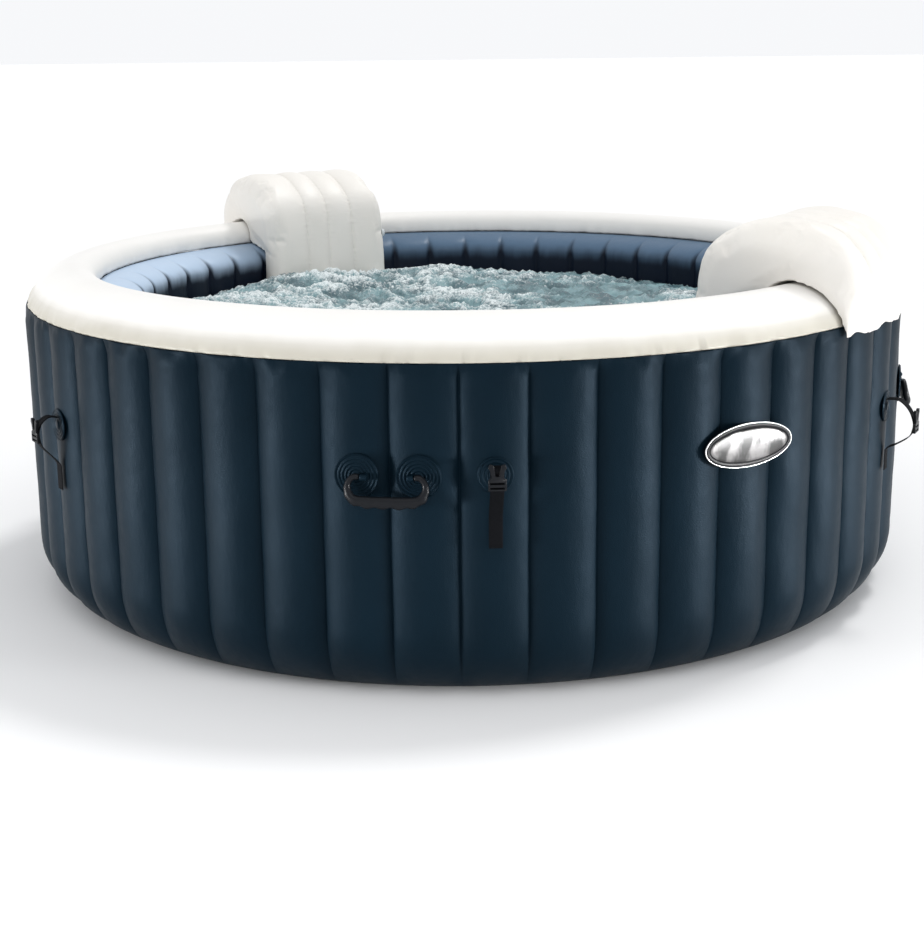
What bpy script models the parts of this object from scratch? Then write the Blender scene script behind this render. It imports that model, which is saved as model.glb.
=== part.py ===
"""Round inflatable hot tub with a ribbed wall, a soft rim and two clip-over headrests.

Metres, +Z up. The origin is the middle of the underside, and the front faces -Y.
Azimuths are in degrees, 0 at the front and growing towards +X. A fitting is modelled as if
it sat at the front: X runs along the wall, -Y points out of it, and the object is then
turned about the tub's axis to its azimuth.
"""
import math

import bmesh
import bpy
from mathutils import Matrix, Vector

# ---------------------------------------------------------------- driving dimensions
RIB_COUNT = 48                # vertical air channels round the wall
RIB_START = -1.1              # azimuth of the weld between two ribs that is nearest the front
RIB_SEGMENTS = 3              # flats across one rib of the outer skin
OUTER_RADIUS = 0.976          # over the crest of the ribs
RIB_DEPTH = 0.020             # how far the ribs stand out from the welds between them
SKIN = 0.001                  # thickness of the laminated vinyl

SEAM_HEIGHT = 0.634           # where the outer wall meets the rim
SEAM_INSET = 0.008            # the seam lies this far inside the crest of the ribs
RIB_FADE = 0.034              # the ribs reach their full depth this far under the seam
ROUNDING_HEIGHT = 0.137       # height over which the wall turns under
ROUNDING_WIDTH = 0.108        # how far it comes in there

RIM_INNER_RADIUS = 0.820      # inner edge of the white rim
INNER_SEAM_RISE = 0.025       # the rim's inner seam lies this far above the outer one
RIM_BULGE = 0.062             # how far the rim swells over a straight line between its seams
RIM_LEAN = 0.015              # its crest leans this far towards the water
SHOULDER_DROP = 0.046         # below its seam the inner skin slopes in over this height
INNER_RADIUS = 0.738          # of the inner wall below that shoulder
RIM_BANDS = 7                 # flats across the rim
LOBE_DEPTH = 0.011            # how far the inner wall swells towards the water
FLOOR_THICKNESS = 0.0015

HEADREST_AZIMUTHS = {"left": 211.3, "right": 57.5}
HEADREST_VALVE_SIDE = {"left": -1, "right": 1}
HEADREST_WIDTH = 0.32
HEADREST_HEIGHT = 0.117       # of its crown over the rim's crown
HEADREST_INNER_DROP = 0.199   # the leg in the water reaches this far below the inner seam
HEADREST_OUTER_DROP = 0.019   # the leg outside reaches this far below the outer seam
HEADREST_LEG = 0.062          # thickness of the leg in the water
HEADREST_OUTER_LEG = 0.010    # thickness of the leg outside
HEADREST_CLEARANCE = 0.0025   # slack between the headrest and the tub
PLUG_RADIUS = 0.006

HANDLE_COUNT = 4
HANDLE_AZIMUTH = -8.6
HANDLE_HEIGHT = 0.431         # of the hinge line
HANDLE_LUG_SPREAD = 0.112     # between the middles of the two welded lugs
LUG_RADIUS = 0.041
GRIP_WIDTH = 0.154
GRIP_DROP = 0.041             # the grip hangs this far below its hinge line
GRIP_RADIUS = 0.008
HINGE_BOSS = 0.012            # width of the eye on a lug
HINGE_INSET = 0.0085          # from the middle of a lug to its eye
HINGE_CLEARANCE = 0.0012      # between an eye and the end of the grip

STRAP_COUNT = 6
STRAP_AZIMUTH = 2.65
STRAP_HEIGHT = 0.434          # middle of the round patch
PATCH_RADIUS = 0.033
WEBBING_WIDTH = 0.025
WEBBING_THICKNESS = 0.0016
TAIL_LENGTH = 0.15            # how far the free end hangs below the strap's hinge
BUCKLE_STANDOFF = 0.052       # from the wall to the back of the buckle
LOOSE_STRAPS = {2: (0.014, 0.034), 6: (0.0, 0.014)}   # extra standoff and drop of a slack strap
BUCKLE_THICKNESS = 0.006

BADGE_AZIMUTH = 31.9
BADGE_HEIGHT = 0.448
BADGE_WIDTH = 0.210
BADGE_DEPTH = 0.084
BADGE_FACE_INSET = 0.011

PORT_HEIGHT = 0.33
PORT_AZIMUTHS = {"water_inlet": 160.15, "water_outlet": 175.15, "air_inlet": 190.15}
PORT_BORE = 0.019
VALVE_AZIMUTH = 205.15
VALVE_HEIGHT = 0.46
VALVE_BORE = 0.016
DRAIN_AZIMUTH = 145.15
DRAIN_HEIGHT = 0.17
DRAIN_BORE = 0.012
FITTING_WALL = 0.004
COLLAR_LENGTH = 0.030         # of the threaded neck outside the wall
FLANGE = 0.016                # width of a flange round its pipe
FLANGE_THICKNESS = 0.004

BUBBLE_RING_INSET = 0.063     # from the inner edge of the rim to the middle of the ring
BUBBLE_RING_WIDTH = 0.036
BUBBLE_RING_HEIGHT = 0.014

WEB_THICKNESS = 0.0012
WEB_BELT_HEIGHT = 0.02
GAP = 0.0003                  # between rigid pieces that touch
SOFT_GAP = 0.0012             # between vinyl skins that are welded on the real tub

# ---------------------------------------------------------------- derived dimensions
RIB_PITCH = 360.0 / RIB_COUNT
RIB_TOP = SEAM_HEIGHT - RIB_FADE
INNER_SEAM_HEIGHT = SEAM_HEIGHT + INNER_SEAM_RISE
HEADREST_INNER_FOOT = INNER_SEAM_HEIGHT - HEADREST_INNER_DROP
HEADREST_OUTER_FOOT = SEAM_HEIGHT - HEADREST_OUTER_DROP
GROOVE_RADIUS = OUTER_RADIUS - RIB_DEPTH
SEAM_RADIUS = OUTER_RADIUS - SEAM_INSET
BASE_RADIUS = OUTER_RADIUS - ROUNDING_WIDTH
SHOULDER_HEIGHT = INNER_SEAM_HEIGHT - SHOULDER_DROP
SHOULDER_WIDTH = RIM_INNER_RADIUS - INNER_RADIUS
RIM_MIDDLE = (SEAM_RADIUS + RIM_INNER_RADIUS) / 2
RIM_HALF_WIDTH = (SEAM_RADIUS - RIM_INNER_RADIUS) / 2
WEB_TOP = RIB_TOP
WEB_BOTTOM = ROUNDING_HEIGHT + 0.01


def clear_scene():
    """Remove every object of the start-up scene."""
    for thing in list(bpy.data.objects):
        bpy.data.objects.remove(thing, do_unlink=True)


def make_collection(name):
    """Add a collection to the scene."""
    collection = bpy.data.collections.new(name)
    bpy.context.scene.collection.children.link(collection)
    return collection


def make_material(name, colour, roughness, metallic=0.0):
    """One Principled material."""
    material = bpy.data.materials.new(name)
    material.use_nodes = True
    shader = material.node_tree.nodes["Principled BSDF"]
    shader.inputs["Base Color"].default_value = (*colour, 1.0)
    shader.inputs["Roughness"].default_value = roughness
    shader.inputs["Metallic"].default_value = metallic
    return material


clear_scene()
TUB = make_collection("inflatable_hot_tub")
CUTTERS = make_collection("cutters")
NAVY = make_material("navy_vinyl", (0.014, 0.033, 0.053), 0.45)
WHITE = make_material("white_vinyl", (0.86, 0.85, 0.82), 0.40)
POOL_BLUE = make_material("pool_blue_vinyl", (0.040, 0.100, 0.190), 0.35)
WEB_FABRIC = make_material("web_fabric", (0.70, 0.72, 0.74), 0.80)
BLACK_PLASTIC = make_material("black_plastic", (0.018, 0.020, 0.024), 0.40)
GREY_PLASTIC = make_material("grey_plastic", (0.30, 0.32, 0.34), 0.45)
WEBBING = make_material("black_webbing", (0.012, 0.014, 0.018), 0.75)
SILVER = make_material("silver_face", (0.48, 0.48, 0.48), 0.35, 0.6)


# ---------------------------------------------------------------- shared building steps
def add_object(name, mesh, material, collection=TUB):
    """Put a mesh in the scene as one named sub-part."""
    thing = bpy.data.objects.new(name, mesh)
    collection.objects.link(thing)
    if material:
        mesh.materials.append(material)
    return thing


def bmesh_object(name, shape, material, collection=TUB):
    """Turn a bmesh into a named sub-part, round faces smooth and edges sharp."""
    mesh = bpy.data.meshes.new(name)
    shape.to_mesh(mesh)
    shape.free()
    mesh.shade_smooth()
    mesh.set_sharp_from_angle(angle=math.radians(35))
    return add_object(name, mesh, material, collection)


def turned(name, profile, segments, material, closed=True):
    """Turn a profile of (radius, height) about Z. It runs down its outer side."""
    mesh = bpy.data.meshes.new(name)
    edges = [(i, i + 1) for i in range(len(profile) - 1)]
    if closed:
        edges.append((len(profile) - 1, 0))
    mesh.from_pydata([(radius, 0.0, height) for radius, height in profile], edges, [])
    thing = add_object(name, mesh, material)
    screw = thing.modifiers.new("turn", "SCREW")
    screw.axis = "Z"
    screw.angle = math.tau
    screw.steps = segments
    screw.render_steps = segments
    screw.use_merge_vertices = True
    screw.merge_threshold = 0.00001
    screw.use_smooth_shade = True
    return thing


def thicken(thing, thickness):
    """Give an open surface its wall, behind the face that shows."""
    wall = thing.modifiers.new("skin", "SOLIDIFY")
    wall.thickness = thickness
    wall.offset = -1.0
    wall.use_even_offset = True


def place(thing, azimuth, radius, height, facing_out=False):
    """Turn a fitting from the front to its azimuth. A turned fitting's +Z points out."""
    angle = math.radians(azimuth)
    thing.location = (radius * math.sin(angle), -radius * math.cos(angle), height)
    thing.rotation_euler = (math.pi / 2 if facing_out else 0.0, 0.0, angle)
    return thing


def cut(thing, cutter):
    """Take a cutter away from a sub-part."""
    boolean = thing.modifiers.new("cut_" + cutter.name, "BOOLEAN")
    boolean.operation = "DIFFERENCE"
    boolean.object = cutter
    boolean.solver = "EXACT"


def unite(thing, other):
    """Join a second solid to a sub-part."""
    boolean = thing.modifiers.new("unite_" + other.name, "BOOLEAN")
    boolean.operation = "UNION"
    boolean.object = other
    boolean.solver = "EXACT"


def as_guide(thing):
    """A cutter or a joined solid that isn't a sub-part itself."""
    for collection in list(thing.users_collection):
        collection.objects.unlink(thing)
    CUTTERS.objects.link(thing)
    thing.hide_render = True
    thing.display_type = "WIRE"
    return thing


def flat_outline(name, outlines, thickness, material):
    """A flat piece with holes: closed outlines of (x, z), extruded along Y."""
    curve = bpy.data.curves.new(name, "CURVE")
    curve.dimensions = "2D"
    curve.fill_mode = "BOTH"
    curve.extrude = thickness / 2
    for outline in outlines:
        spline = curve.splines.new("POLY")
        spline.points.add(len(outline) - 1)
        for point, (x, z) in zip(spline.points, outline):
            point.co = (x, z, 0.0, 1.0)
        spline.use_cyclic_u = True
    source = bpy.data.objects.new(name + "_outline", curve)
    TUB.objects.link(source)
    mesh = solid_from_curve(source)
    mesh.transform(Matrix.Rotation(math.pi / 2, 4, "X"))
    return add_object(name, mesh, material)


def solid_from_curve(source):
    """Make a curve a closed mesh, with its caps welded on, and remove the curve."""
    bpy.context.view_layer.update()
    evaluated = source.evaluated_get(bpy.context.evaluated_depsgraph_get())
    mesh = bpy.data.meshes.new_from_object(evaluated)
    shape = bmesh.new()
    shape.from_mesh(mesh)
    bmesh.ops.remove_doubles(shape, verts=shape.verts, dist=0.00001)
    bmesh.ops.recalc_face_normals(shape, faces=shape.faces)
    shape.to_mesh(mesh)
    shape.free()
    mesh.materials.clear()
    bpy.data.objects.remove(source, do_unlink=True)
    return mesh


def ellipse(width, height, count):
    """Points of (x, z) round an ellipse."""
    turns = [math.tau * i / count for i in range(count)]
    return [(width / 2 * math.cos(turn), height / 2 * math.sin(turn)) for turn in turns]


# ---------------------------------------------------------------- walls, rim and floor
def rib_swell(share):
    """How far a rib stands out across its width: 0 at its welds and 1 in the middle."""
    return math.sqrt(max(0.0, 1.0 - (2.0 * share - 1.0) ** 2))


def channelled_wall(name, rows, segments, material):
    """A wall of vertical channels through rows of (height, weld radius, swell)."""
    shape = bmesh.new()
    columns = RIB_COUNT * segments
    grid = []
    for height, radius, swell in rows:
        ring = []
        for column in range(columns):
            angle = math.radians(RIB_START + column * RIB_PITCH / segments)
            reach = radius + swell * rib_swell((column % segments) / segments)
            ring.append(shape.verts.new((reach * math.sin(angle), -reach * math.cos(angle), height)))
        grid.append(ring)
    for upper, lower in zip(grid, grid[1:]):
        for column in range(columns):
            after = (column + 1) % columns
            shape.faces.new((upper[column], lower[column], lower[after], upper[after]))
    thing = bmesh_object(name, shape, material)
    thicken(thing, SKIN)
    return thing


def rim_point(turn):
    """A point of the rim's outline: turn 0 is the outer seam and pi the inner one."""
    radius = RIM_MIDDLE + RIM_HALF_WIDTH * math.cos(turn) - RIM_LEAN * math.sin(turn)
    middle = (SEAM_HEIGHT + INNER_SEAM_HEIGHT) / 2
    lean = (SEAM_HEIGHT - INNER_SEAM_HEIGHT) / 2
    return radius, middle + lean * math.cos(turn) + RIM_BULGE * math.sin(turn)


def make_outer_wall():
    """Ribbed outer skin, from the rim's seam to where it turns under onto the ground."""
    rows = [
        (SEAM_HEIGHT - SOFT_GAP, SEAM_RADIUS - RIB_DEPTH / 10, RIB_DEPTH / 10),
        (RIB_TOP, GROOVE_RADIUS, RIB_DEPTH),
        (ROUNDING_HEIGHT, GROOVE_RADIUS, RIB_DEPTH),
    ]
    for degrees, depth_share in ((30, 0.7), (60, 0.2), (90, 0.0)):
        turn = math.radians(degrees)
        crest = BASE_RADIUS + ROUNDING_WIDTH * math.cos(turn)
        depth = RIB_DEPTH * depth_share
        rows.append((ROUNDING_HEIGHT * (1 - math.sin(turn)), crest - depth, depth))
    wall = channelled_wall("outer_wall", rows, RIB_SEGMENTS, NAVY)
    for cutter in wall_holes():
        cut(wall, cutter)


def make_inner_wall():
    """Inner skin: a shoulder that slopes in from the rim's seam, then the lobed wall."""
    foot = FLOOR_THICKNESS + SOFT_GAP
    weld = INNER_RADIUS - SOFT_GAP
    rows = [
        (foot, weld, 0.0),
        (foot + 0.05, weld, -LOBE_DEPTH),
        (SHOULDER_HEIGHT, weld, -LOBE_DEPTH),
    ]
    for degrees, swell in ((30, LOBE_DEPTH * 0.8), (60, LOBE_DEPTH * 0.5), (90, 0.0)):
        turn = math.radians(degrees)
        height = SHOULDER_HEIGHT + (SHOULDER_DROP - SOFT_GAP) * math.sin(turn)
        rows.append((height, weld + SHOULDER_WIDTH * (1 - math.cos(turn)), -swell))
    wall = channelled_wall("inner_wall", rows, 2, POOL_BLUE)
    for cutter in wall_holes():
        cut(wall, cutter)


def make_rim():
    """Soft white rim, a broad rounded ring that closes the air chamber at the top."""
    profile = [rim_point(math.pi * (1 - band / RIM_BANDS)) for band in range(RIM_BANDS + 1)]
    rim = turned("top_rim", profile, 60, WHITE, closed=False)
    thicken(rim, SKIN)


def make_floor():
    """The floor inside the tub, and the ring that closes the air chamber underneath."""
    floor_edge = INNER_RADIUS - 0.004
    shape = bmesh.new()
    bmesh.ops.create_cone(shape, cap_ends=True, segments=72, radius1=floor_edge,
                          radius2=floor_edge, depth=FLOOR_THICKNESS,
                          matrix=Matrix.Translation((0, 0, FLOOR_THICKNESS / 2)))
    bmesh_object("floor_sheet", shape, POOL_BLUE)
    outer = (BASE_RADIUS - SOFT_GAP) * math.cos(math.pi / (RIB_COUNT * RIB_SEGMENTS))
    inner = (floor_edge + SOFT_GAP) / math.cos(math.pi / RIB_COUNT)
    ring = [(outer, FLOOR_THICKNESS), (outer, 0), (inner, 0), (inner, FLOOR_THICKNESS)]
    turned("base_ring", ring, RIB_COUNT, NAVY)


def make_webs():
    """Radial webs inside the air chamber, one on each weld, tied by a belt near the top."""
    inner = INNER_RADIUS + 2 * SOFT_GAP
    outer = GROOVE_RADIUS - SKIN - 2 * SOFT_GAP
    shape = bmesh.new()
    for index in range(RIB_COUNT):
        angle = math.radians(RIB_START + index * RIB_PITCH)
        size = Matrix.Diagonal((WEB_THICKNESS, outer - inner, WEB_TOP - WEB_BOTTOM, 1))
        spot = Matrix.Translation((0, -(inner + outer) / 2, (WEB_TOP + WEB_BOTTOM) / 2))
        bmesh.ops.create_cube(shape, size=1, matrix=Matrix.Rotation(angle, 4, "Z") @ spot @ size)
    webs = bmesh_object("wall_webs", shape, WEB_FABRIC)
    middle = (inner + outer) / 2
    low, high = WEB_TOP - 2 * WEB_BELT_HEIGHT, WEB_TOP - WEB_BELT_HEIGHT
    far, near = middle + WEB_THICKNESS, middle - WEB_THICKNESS
    section = [(far, high), (far, low), (near, low), (near, high)]
    belt = as_guide(turned("web_belt", section, RIB_COUNT, WEB_FABRIC))
    unite(webs, belt)


# ---------------------------------------------------------------- fittings in the wall
def fitting_places():
    """Every pipe that passes through the wall: name, azimuth, height, bore."""
    places = [(name, azimuth, PORT_HEIGHT, PORT_BORE) for name, azimuth in PORT_AZIMUTHS.items()]
    places.append(("drain", DRAIN_AZIMUTH, DRAIN_HEIGHT, DRAIN_BORE))
    return places


def wall_holes():
    """Cutters for the pipes, one set for each wall that they pass through."""
    cutters = []
    valve = ("inflation_valve", VALVE_AZIMUTH, VALVE_HEIGHT, VALVE_BORE)
    for name, azimuth, height, bore in fitting_places() + [valve]:
        radius = bore + FITTING_WALL + SOFT_GAP
        start = OUTER_RADIUS - 0.05 if name == "inflation_valve" else INNER_RADIUS - 0.05
        length = OUTER_RADIUS + 0.05 - start
        shape = bmesh.new()
        bmesh.ops.create_cone(shape, cap_ends=True, segments=16, radius1=radius, radius2=radius,
                              depth=length, matrix=Matrix.Translation((0, 0, length / 2)))
        cutter = bmesh_object("hole_" + name, shape, None, CUTTERS)
        place(as_guide(cutter), azimuth, start, height, facing_out=True)
        cutters.append(cutter)
    return cutters


def make_pipe(name, azimuth, height, bore, inner_end):
    """A flanged pipe with a threaded neck outside, turned in one piece."""
    pipe = bore + FITTING_WALL
    flange = pipe + FLANGE
    seat = OUTER_RADIUS + GAP - inner_end
    neck = seat + FLANGE_THICKNESS + COLLAR_LENGTH
    nut = FLANGE_THICKNESS
    profile = [
        (pipe, neck), (pipe, seat + FLANGE_THICKNESS), (flange, seat + FLANGE_THICKNESS),
        (flange, seat), (pipe, seat), (pipe, nut), (flange, nut), (flange, 0), (bore, 0),
        (bore, neck),
    ]
    thing = turned(name + "_fitting", profile, 16, BLACK_PLASTIC)
    return place(thing, azimuth, inner_end, height, facing_out=True)


def make_cap(name, azimuth, height, bore):
    """A screw cap over a fitting's neck, open towards the wall."""
    neck = bore + FITTING_WALL + 2 * GAP
    outside = neck + FITTING_WALL
    length = COLLAR_LENGTH + FITTING_WALL
    profile = [
        (0, length), (outside, length), (outside, 0), (neck, 0),
        (neck, COLLAR_LENGTH + GAP), (0, COLLAR_LENGTH + GAP),
    ]
    thing = turned(name + "_cap", profile, 16, GREY_PLASTIC, closed=False)
    start = OUTER_RADIUS + FLANGE_THICKNESS + 2 * GAP
    return place(thing, azimuth, start, height, facing_out=True)


def make_strainer(name, azimuth, height, bore):
    """A domed strainer pushed over the inner end of a water fitting."""
    depth = 0.022
    lip = bore + FITTING_WALL + FLANGE
    crown = lip * 0.7
    wall = 0.0025
    profile = [
        (0, 0), (crown, 0.004), (lip, depth), (lip - wall, depth),
        (crown - wall, 0.004 + wall), (0, wall),
    ]
    thing = turned(name + "_strainer", profile[::-1], 16, GREY_PLASTIC, closed=False)
    start = INNER_RADIUS - LOBE_DEPTH - FLANGE_THICKNESS - 3 * SOFT_GAP - depth
    return place(thing, azimuth, start, height, facing_out=True)


def make_fittings():
    """Water, air and drain fittings through the wall, and the inflation valve on it."""
    inner_end = INNER_RADIUS - LOBE_DEPTH - FLANGE_THICKNESS - 2 * SOFT_GAP
    for name, azimuth, height, bore in fitting_places():
        make_pipe(name, azimuth, height, bore, inner_end)
        make_cap(name, azimuth, height, bore)
    for name in ("water_inlet", "water_outlet"):
        make_strainer(name, PORT_AZIMUTHS[name], PORT_HEIGHT, PORT_BORE)
    make_pipe("inflation_valve", VALVE_AZIMUTH, VALVE_HEIGHT, VALVE_BORE, OUTER_RADIUS - 0.03)
    make_cap("inflation_valve", VALVE_AZIMUTH, VALVE_HEIGHT, VALVE_BORE)


def make_bubble_ring():
    """The flat air channel round the floor that feeds the bubble jets."""
    half = BUBBLE_RING_WIDTH / 2
    low = FLOOR_THICKNESS + GAP
    top = low + BUBBLE_RING_HEIGHT
    middle = INNER_RADIUS - BUBBLE_RING_INSET
    profile = [
        (middle + half / 2, top), (middle + half, low), (middle - half, low),
        (middle - half / 2, top),
    ]
    turned("bubble_ring", profile, 48, POOL_BLUE)


# ---------------------------------------------------------------- handles, straps, badge
def make_handle(index):
    """A carry handle: two lugs welded to the wall and a grip that hinges between them."""
    azimuth = HANDLE_AZIMUTH + index * 360 / HANDLE_COUNT
    name = "handle_%d" % (index + 1)
    boss = 0.006
    hinge_out = 0.012
    lug_thickness = 0.003
    for side, label in ((-1, "a"), (1, "b")):
        shape = bmesh.new()
        facing = Matrix.Rotation(math.pi / 2, 4, "X")
        disc = facing @ Matrix.Translation((0, 0, lug_thickness / 2))
        bmesh.ops.create_cone(shape, cap_ends=True, segments=20, radius1=LUG_RADIUS,
                              radius2=LUG_RADIUS * 0.97, depth=lug_thickness, matrix=disc)
        lug = bmesh_object("%s_lug_%s" % (name, label), shape, NAVY)
        shape = bmesh.new()
        size = Matrix.Diagonal((HINGE_BOSS, hinge_out + boss - lug_thickness / 2, 2 * boss, 1))
        inset = -side * (HINGE_INSET + HINGE_BOSS / 2)
        spot = Matrix.Translation((inset, -(hinge_out + boss + lug_thickness / 2) / 2, 0))
        bmesh.ops.create_cube(shape, size=1, matrix=spot @ size)
        block = as_guide(bmesh_object("%s_boss_%s" % (name, label), shape, None))
        unite(lug, block)
        lean = math.degrees(math.asin(HANDLE_LUG_SPREAD / 2 / OUTER_RADIUS))
        for thing in (lug, block):
            place(thing, azimuth + side * lean, OUTER_RADIUS + SOFT_GAP, HANDLE_HEIGHT)
    make_grip(name, azimuth, hinge_out)


def make_grip(name, azimuth, hinge_out):
    """The moulded grip, a bar that turns up at both ends into the lugs."""
    end = HANDLE_LUG_SPREAD / 2 - HINGE_INSET + HINGE_CLEARANCE
    half = GRIP_WIDTH / 2 - GRIP_RADIUS
    route = [
        (-end, 0.0, 0.0), (-(end + half) / 2, 0.0, 0.0), (-half, -0.002, -GRIP_DROP * 0.25),
        (-half, -0.005, -GRIP_DROP * 0.58), (-half * 0.87, -0.009, -GRIP_DROP * 0.90),
        (-half * 0.5, -0.010, -GRIP_DROP), (0, -0.010, -GRIP_DROP),
    ]
    route += [(-x, y, z) for x, y, z in route[-2::-1]]
    curve = bpy.data.curves.new(name + "_grip", "CURVE")
    curve.dimensions = "3D"
    curve.bevel_depth = GRIP_RADIUS
    curve.bevel_resolution = 2
    curve.use_fill_caps = True
    spline = curve.splines.new("POLY")
    spline.points.add(len(route) - 1)
    for point, (x, y, z) in zip(spline.points, route):
        point.co = (x, y, z, 1.0)
    grip = bpy.data.objects.new(name + "_grip", curve)
    TUB.objects.link(grip)
    curve.materials.append(BLACK_PLASTIC)
    lean = math.asin(HANDLE_LUG_SPREAD / 2 / OUTER_RADIUS)
    hinge_radius = (OUTER_RADIUS + SOFT_GAP + hinge_out) * math.cos(lean)
    place(grip, azimuth, hinge_radius, HANDLE_HEIGHT)


def make_strap(index):
    """A cover strap: a round patch on the wall, the webbing, and half a buckle on it."""
    azimuth = STRAP_AZIMUTH + index * 360 / STRAP_COUNT
    name = "strap_%d" % (index + 1)
    patch_thickness = 0.0025
    shape = bmesh.new()
    disc = Matrix.Rotation(math.pi / 2, 4, "X") @ Matrix.Translation((0, 0, patch_thickness / 2))
    bmesh.ops.create_cone(shape, cap_ends=True, segments=20, radius1=PATCH_RADIUS,
                          radius2=PATCH_RADIUS * 0.97, depth=patch_thickness, matrix=disc)
    patch = bmesh_object(name + "_patch", shape, NAVY)
    place(patch, azimuth, OUTER_RADIUS + SOFT_GAP, STRAP_HEIGHT)
    hinge = OUTER_RADIUS + SOFT_GAP + patch_thickness + 0.002
    hinge_height = STRAP_HEIGHT + 0.016
    more, drop = LOOSE_STRAPS.get(index + 1, (0.0, 0.0))
    reach = BUCKLE_STANDOFF + more - 0.006 - patch_thickness - 0.002
    route = [
        (0.0, 0.0), (reach * 0.45, 0.006 - drop * 0.2), (reach * 0.82, 0.002 - drop * 0.6),
        (reach, -0.008 - drop), (reach, -0.024 - drop), (reach * 0.86, -0.042 - drop),
        (reach * 0.42, -0.066 - drop * 0.8), (reach * 0.06, -0.090 - drop * 0.4),
        (0.001, -0.110 - drop * 0.1), (0.001, -TAIL_LENGTH),
    ]
    shape = bmesh.new()
    rows = [[shape.verts.new((side * WEBBING_WIDTH / 2, -out, fall)) for side in (-1, 1)]
            for out, fall in route]
    for upper, lower in zip(rows, rows[1:]):
        shape.faces.new((upper[0], lower[0], lower[1], upper[1]))
    webbing = bmesh_object(name + "_webbing", shape, WEBBING)
    thicken(webbing, WEBBING_THICKNESS)
    place(webbing, azimuth, hinge, hinge_height)
    make_buckle(name, azimuth, hinge, hinge_height, reach, drop)


def make_buckle(name, azimuth, hinge, hinge_height, reach, drop):
    """The prong half of a side-release buckle, with its ladder for the webbing."""
    half = WEBBING_WIDTH / 2 + 0.0035
    outline = [
        (-half, 0.0), (half, 0.0), (half, 0.020), (half * 0.62, 0.024), (half * 0.80, 0.036),
        (half * 1.02, 0.041), (half * 0.86, 0.048), (half * 0.42, 0.046), (half * 0.22, 0.026),
        (-half * 0.22, 0.026), (-half * 0.42, 0.046), (-half * 0.86, 0.048),
        (-half * 1.02, 0.041), (-half * 0.80, 0.036), (-half * 0.62, 0.024), (-half, 0.020),
    ]
    slot = WEBBING_WIDTH / 2 + 0.0005
    slots = [[(-slot, low), (slot, low), (slot, low + 0.0035), (-slot, low + 0.0035)]
             for low in (0.003, 0.0115)]
    buckle = flat_outline(name + "_buckle", [outline] + slots, BUCKLE_THICKNESS, BLACK_PLASTIC)
    back = reach + GAP + BUCKLE_THICKNESS / 2
    buckle.data.transform(Matrix.Translation((0, -back, -0.032 - drop)))
    place(buckle, azimuth, hinge, hinge_height)


def make_badge():
    """An oval badge: a black base that stands off the ribs and a plain silver face."""
    base = flat_outline("badge_base", [ellipse(BADGE_WIDTH, BADGE_DEPTH, 36)], 0.006,
                        BLACK_PLASTIC)
    place(base, BADGE_AZIMUTH, OUTER_RADIUS + SOFT_GAP + 0.003, BADGE_HEIGHT)
    face_size = (BADGE_WIDTH - 2 * BADGE_FACE_INSET, BADGE_DEPTH - 2 * BADGE_FACE_INSET)
    face = flat_outline("badge_face", [ellipse(*face_size, 36)], 0.002, SILVER)
    place(face, BADGE_AZIMUTH, OUTER_RADIUS + SOFT_GAP + 0.006 + GAP + 0.001, BADGE_HEIGHT)


# ---------------------------------------------------------------- headrests
def headrest_section(swell):
    """Outline of (radius, height) across a headrest, swelled outwards by a distance."""
    rim_top = max(rim_point(math.pi * i / 40)[1] for i in range(41))
    crown = rim_top + HEADREST_HEIGHT
    inner_face = INNER_RADIUS - SOFT_GAP - LOBE_DEPTH - HEADREST_CLEARANCE
    outer_face = OUTER_RADIUS + HEADREST_CLEARANCE
    water_side = inner_face - HEADREST_LEG
    dry_side = outer_face + HEADREST_OUTER_LEG
    width = dry_side - water_side
    outside = [
        (dry_side, HEADREST_OUTER_FOOT), (dry_side - 0.002, rim_top - 0.018),
        (dry_side - 0.013, rim_top + 0.037), (dry_side - 0.062, rim_top + 0.092),
        (water_side + width * 0.64, crown - 0.006), (water_side + width * 0.42, crown),
        (water_side + width * 0.22, crown - 0.023), (water_side + 0.018, rim_top + 0.047),
        (water_side, rim_top - 0.048), (water_side - 0.004, rim_top - 0.148),
        (water_side + 0.013, HEADREST_INNER_FOOT),
    ]
    middle = Vector(((SEAM_RADIUS + INNER_RADIUS) / 2, rim_top - 0.038))
    swelled = []
    for radius, height in outside:
        away = (Vector((radius, height)) - middle).normalized() * swell
        swelled.append((radius + away.x, height + max(away.y, 0.0)))
    rim_heart = Vector((RIM_MIDDLE, (SEAM_HEIGHT + INNER_SEAM_HEIGHT) / 2))
    underside = [(inner_face, HEADREST_INNER_FOOT), (inner_face, INNER_SEAM_HEIGHT - 0.011)]
    for band in range(RIM_BANDS + 1):
        spot = Vector(rim_point(math.pi * (1 - band / RIM_BANDS)))
        spot += (spot - rim_heart).normalized() * HEADREST_CLEARANCE
        underside.append((spot.x, spot.y + HEADREST_CLEARANCE / 2))
    underside[-1] = (outer_face, underside[-1][1])
    underside.append((outer_face, HEADREST_OUTER_FOOT))
    return swelled + underside


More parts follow.
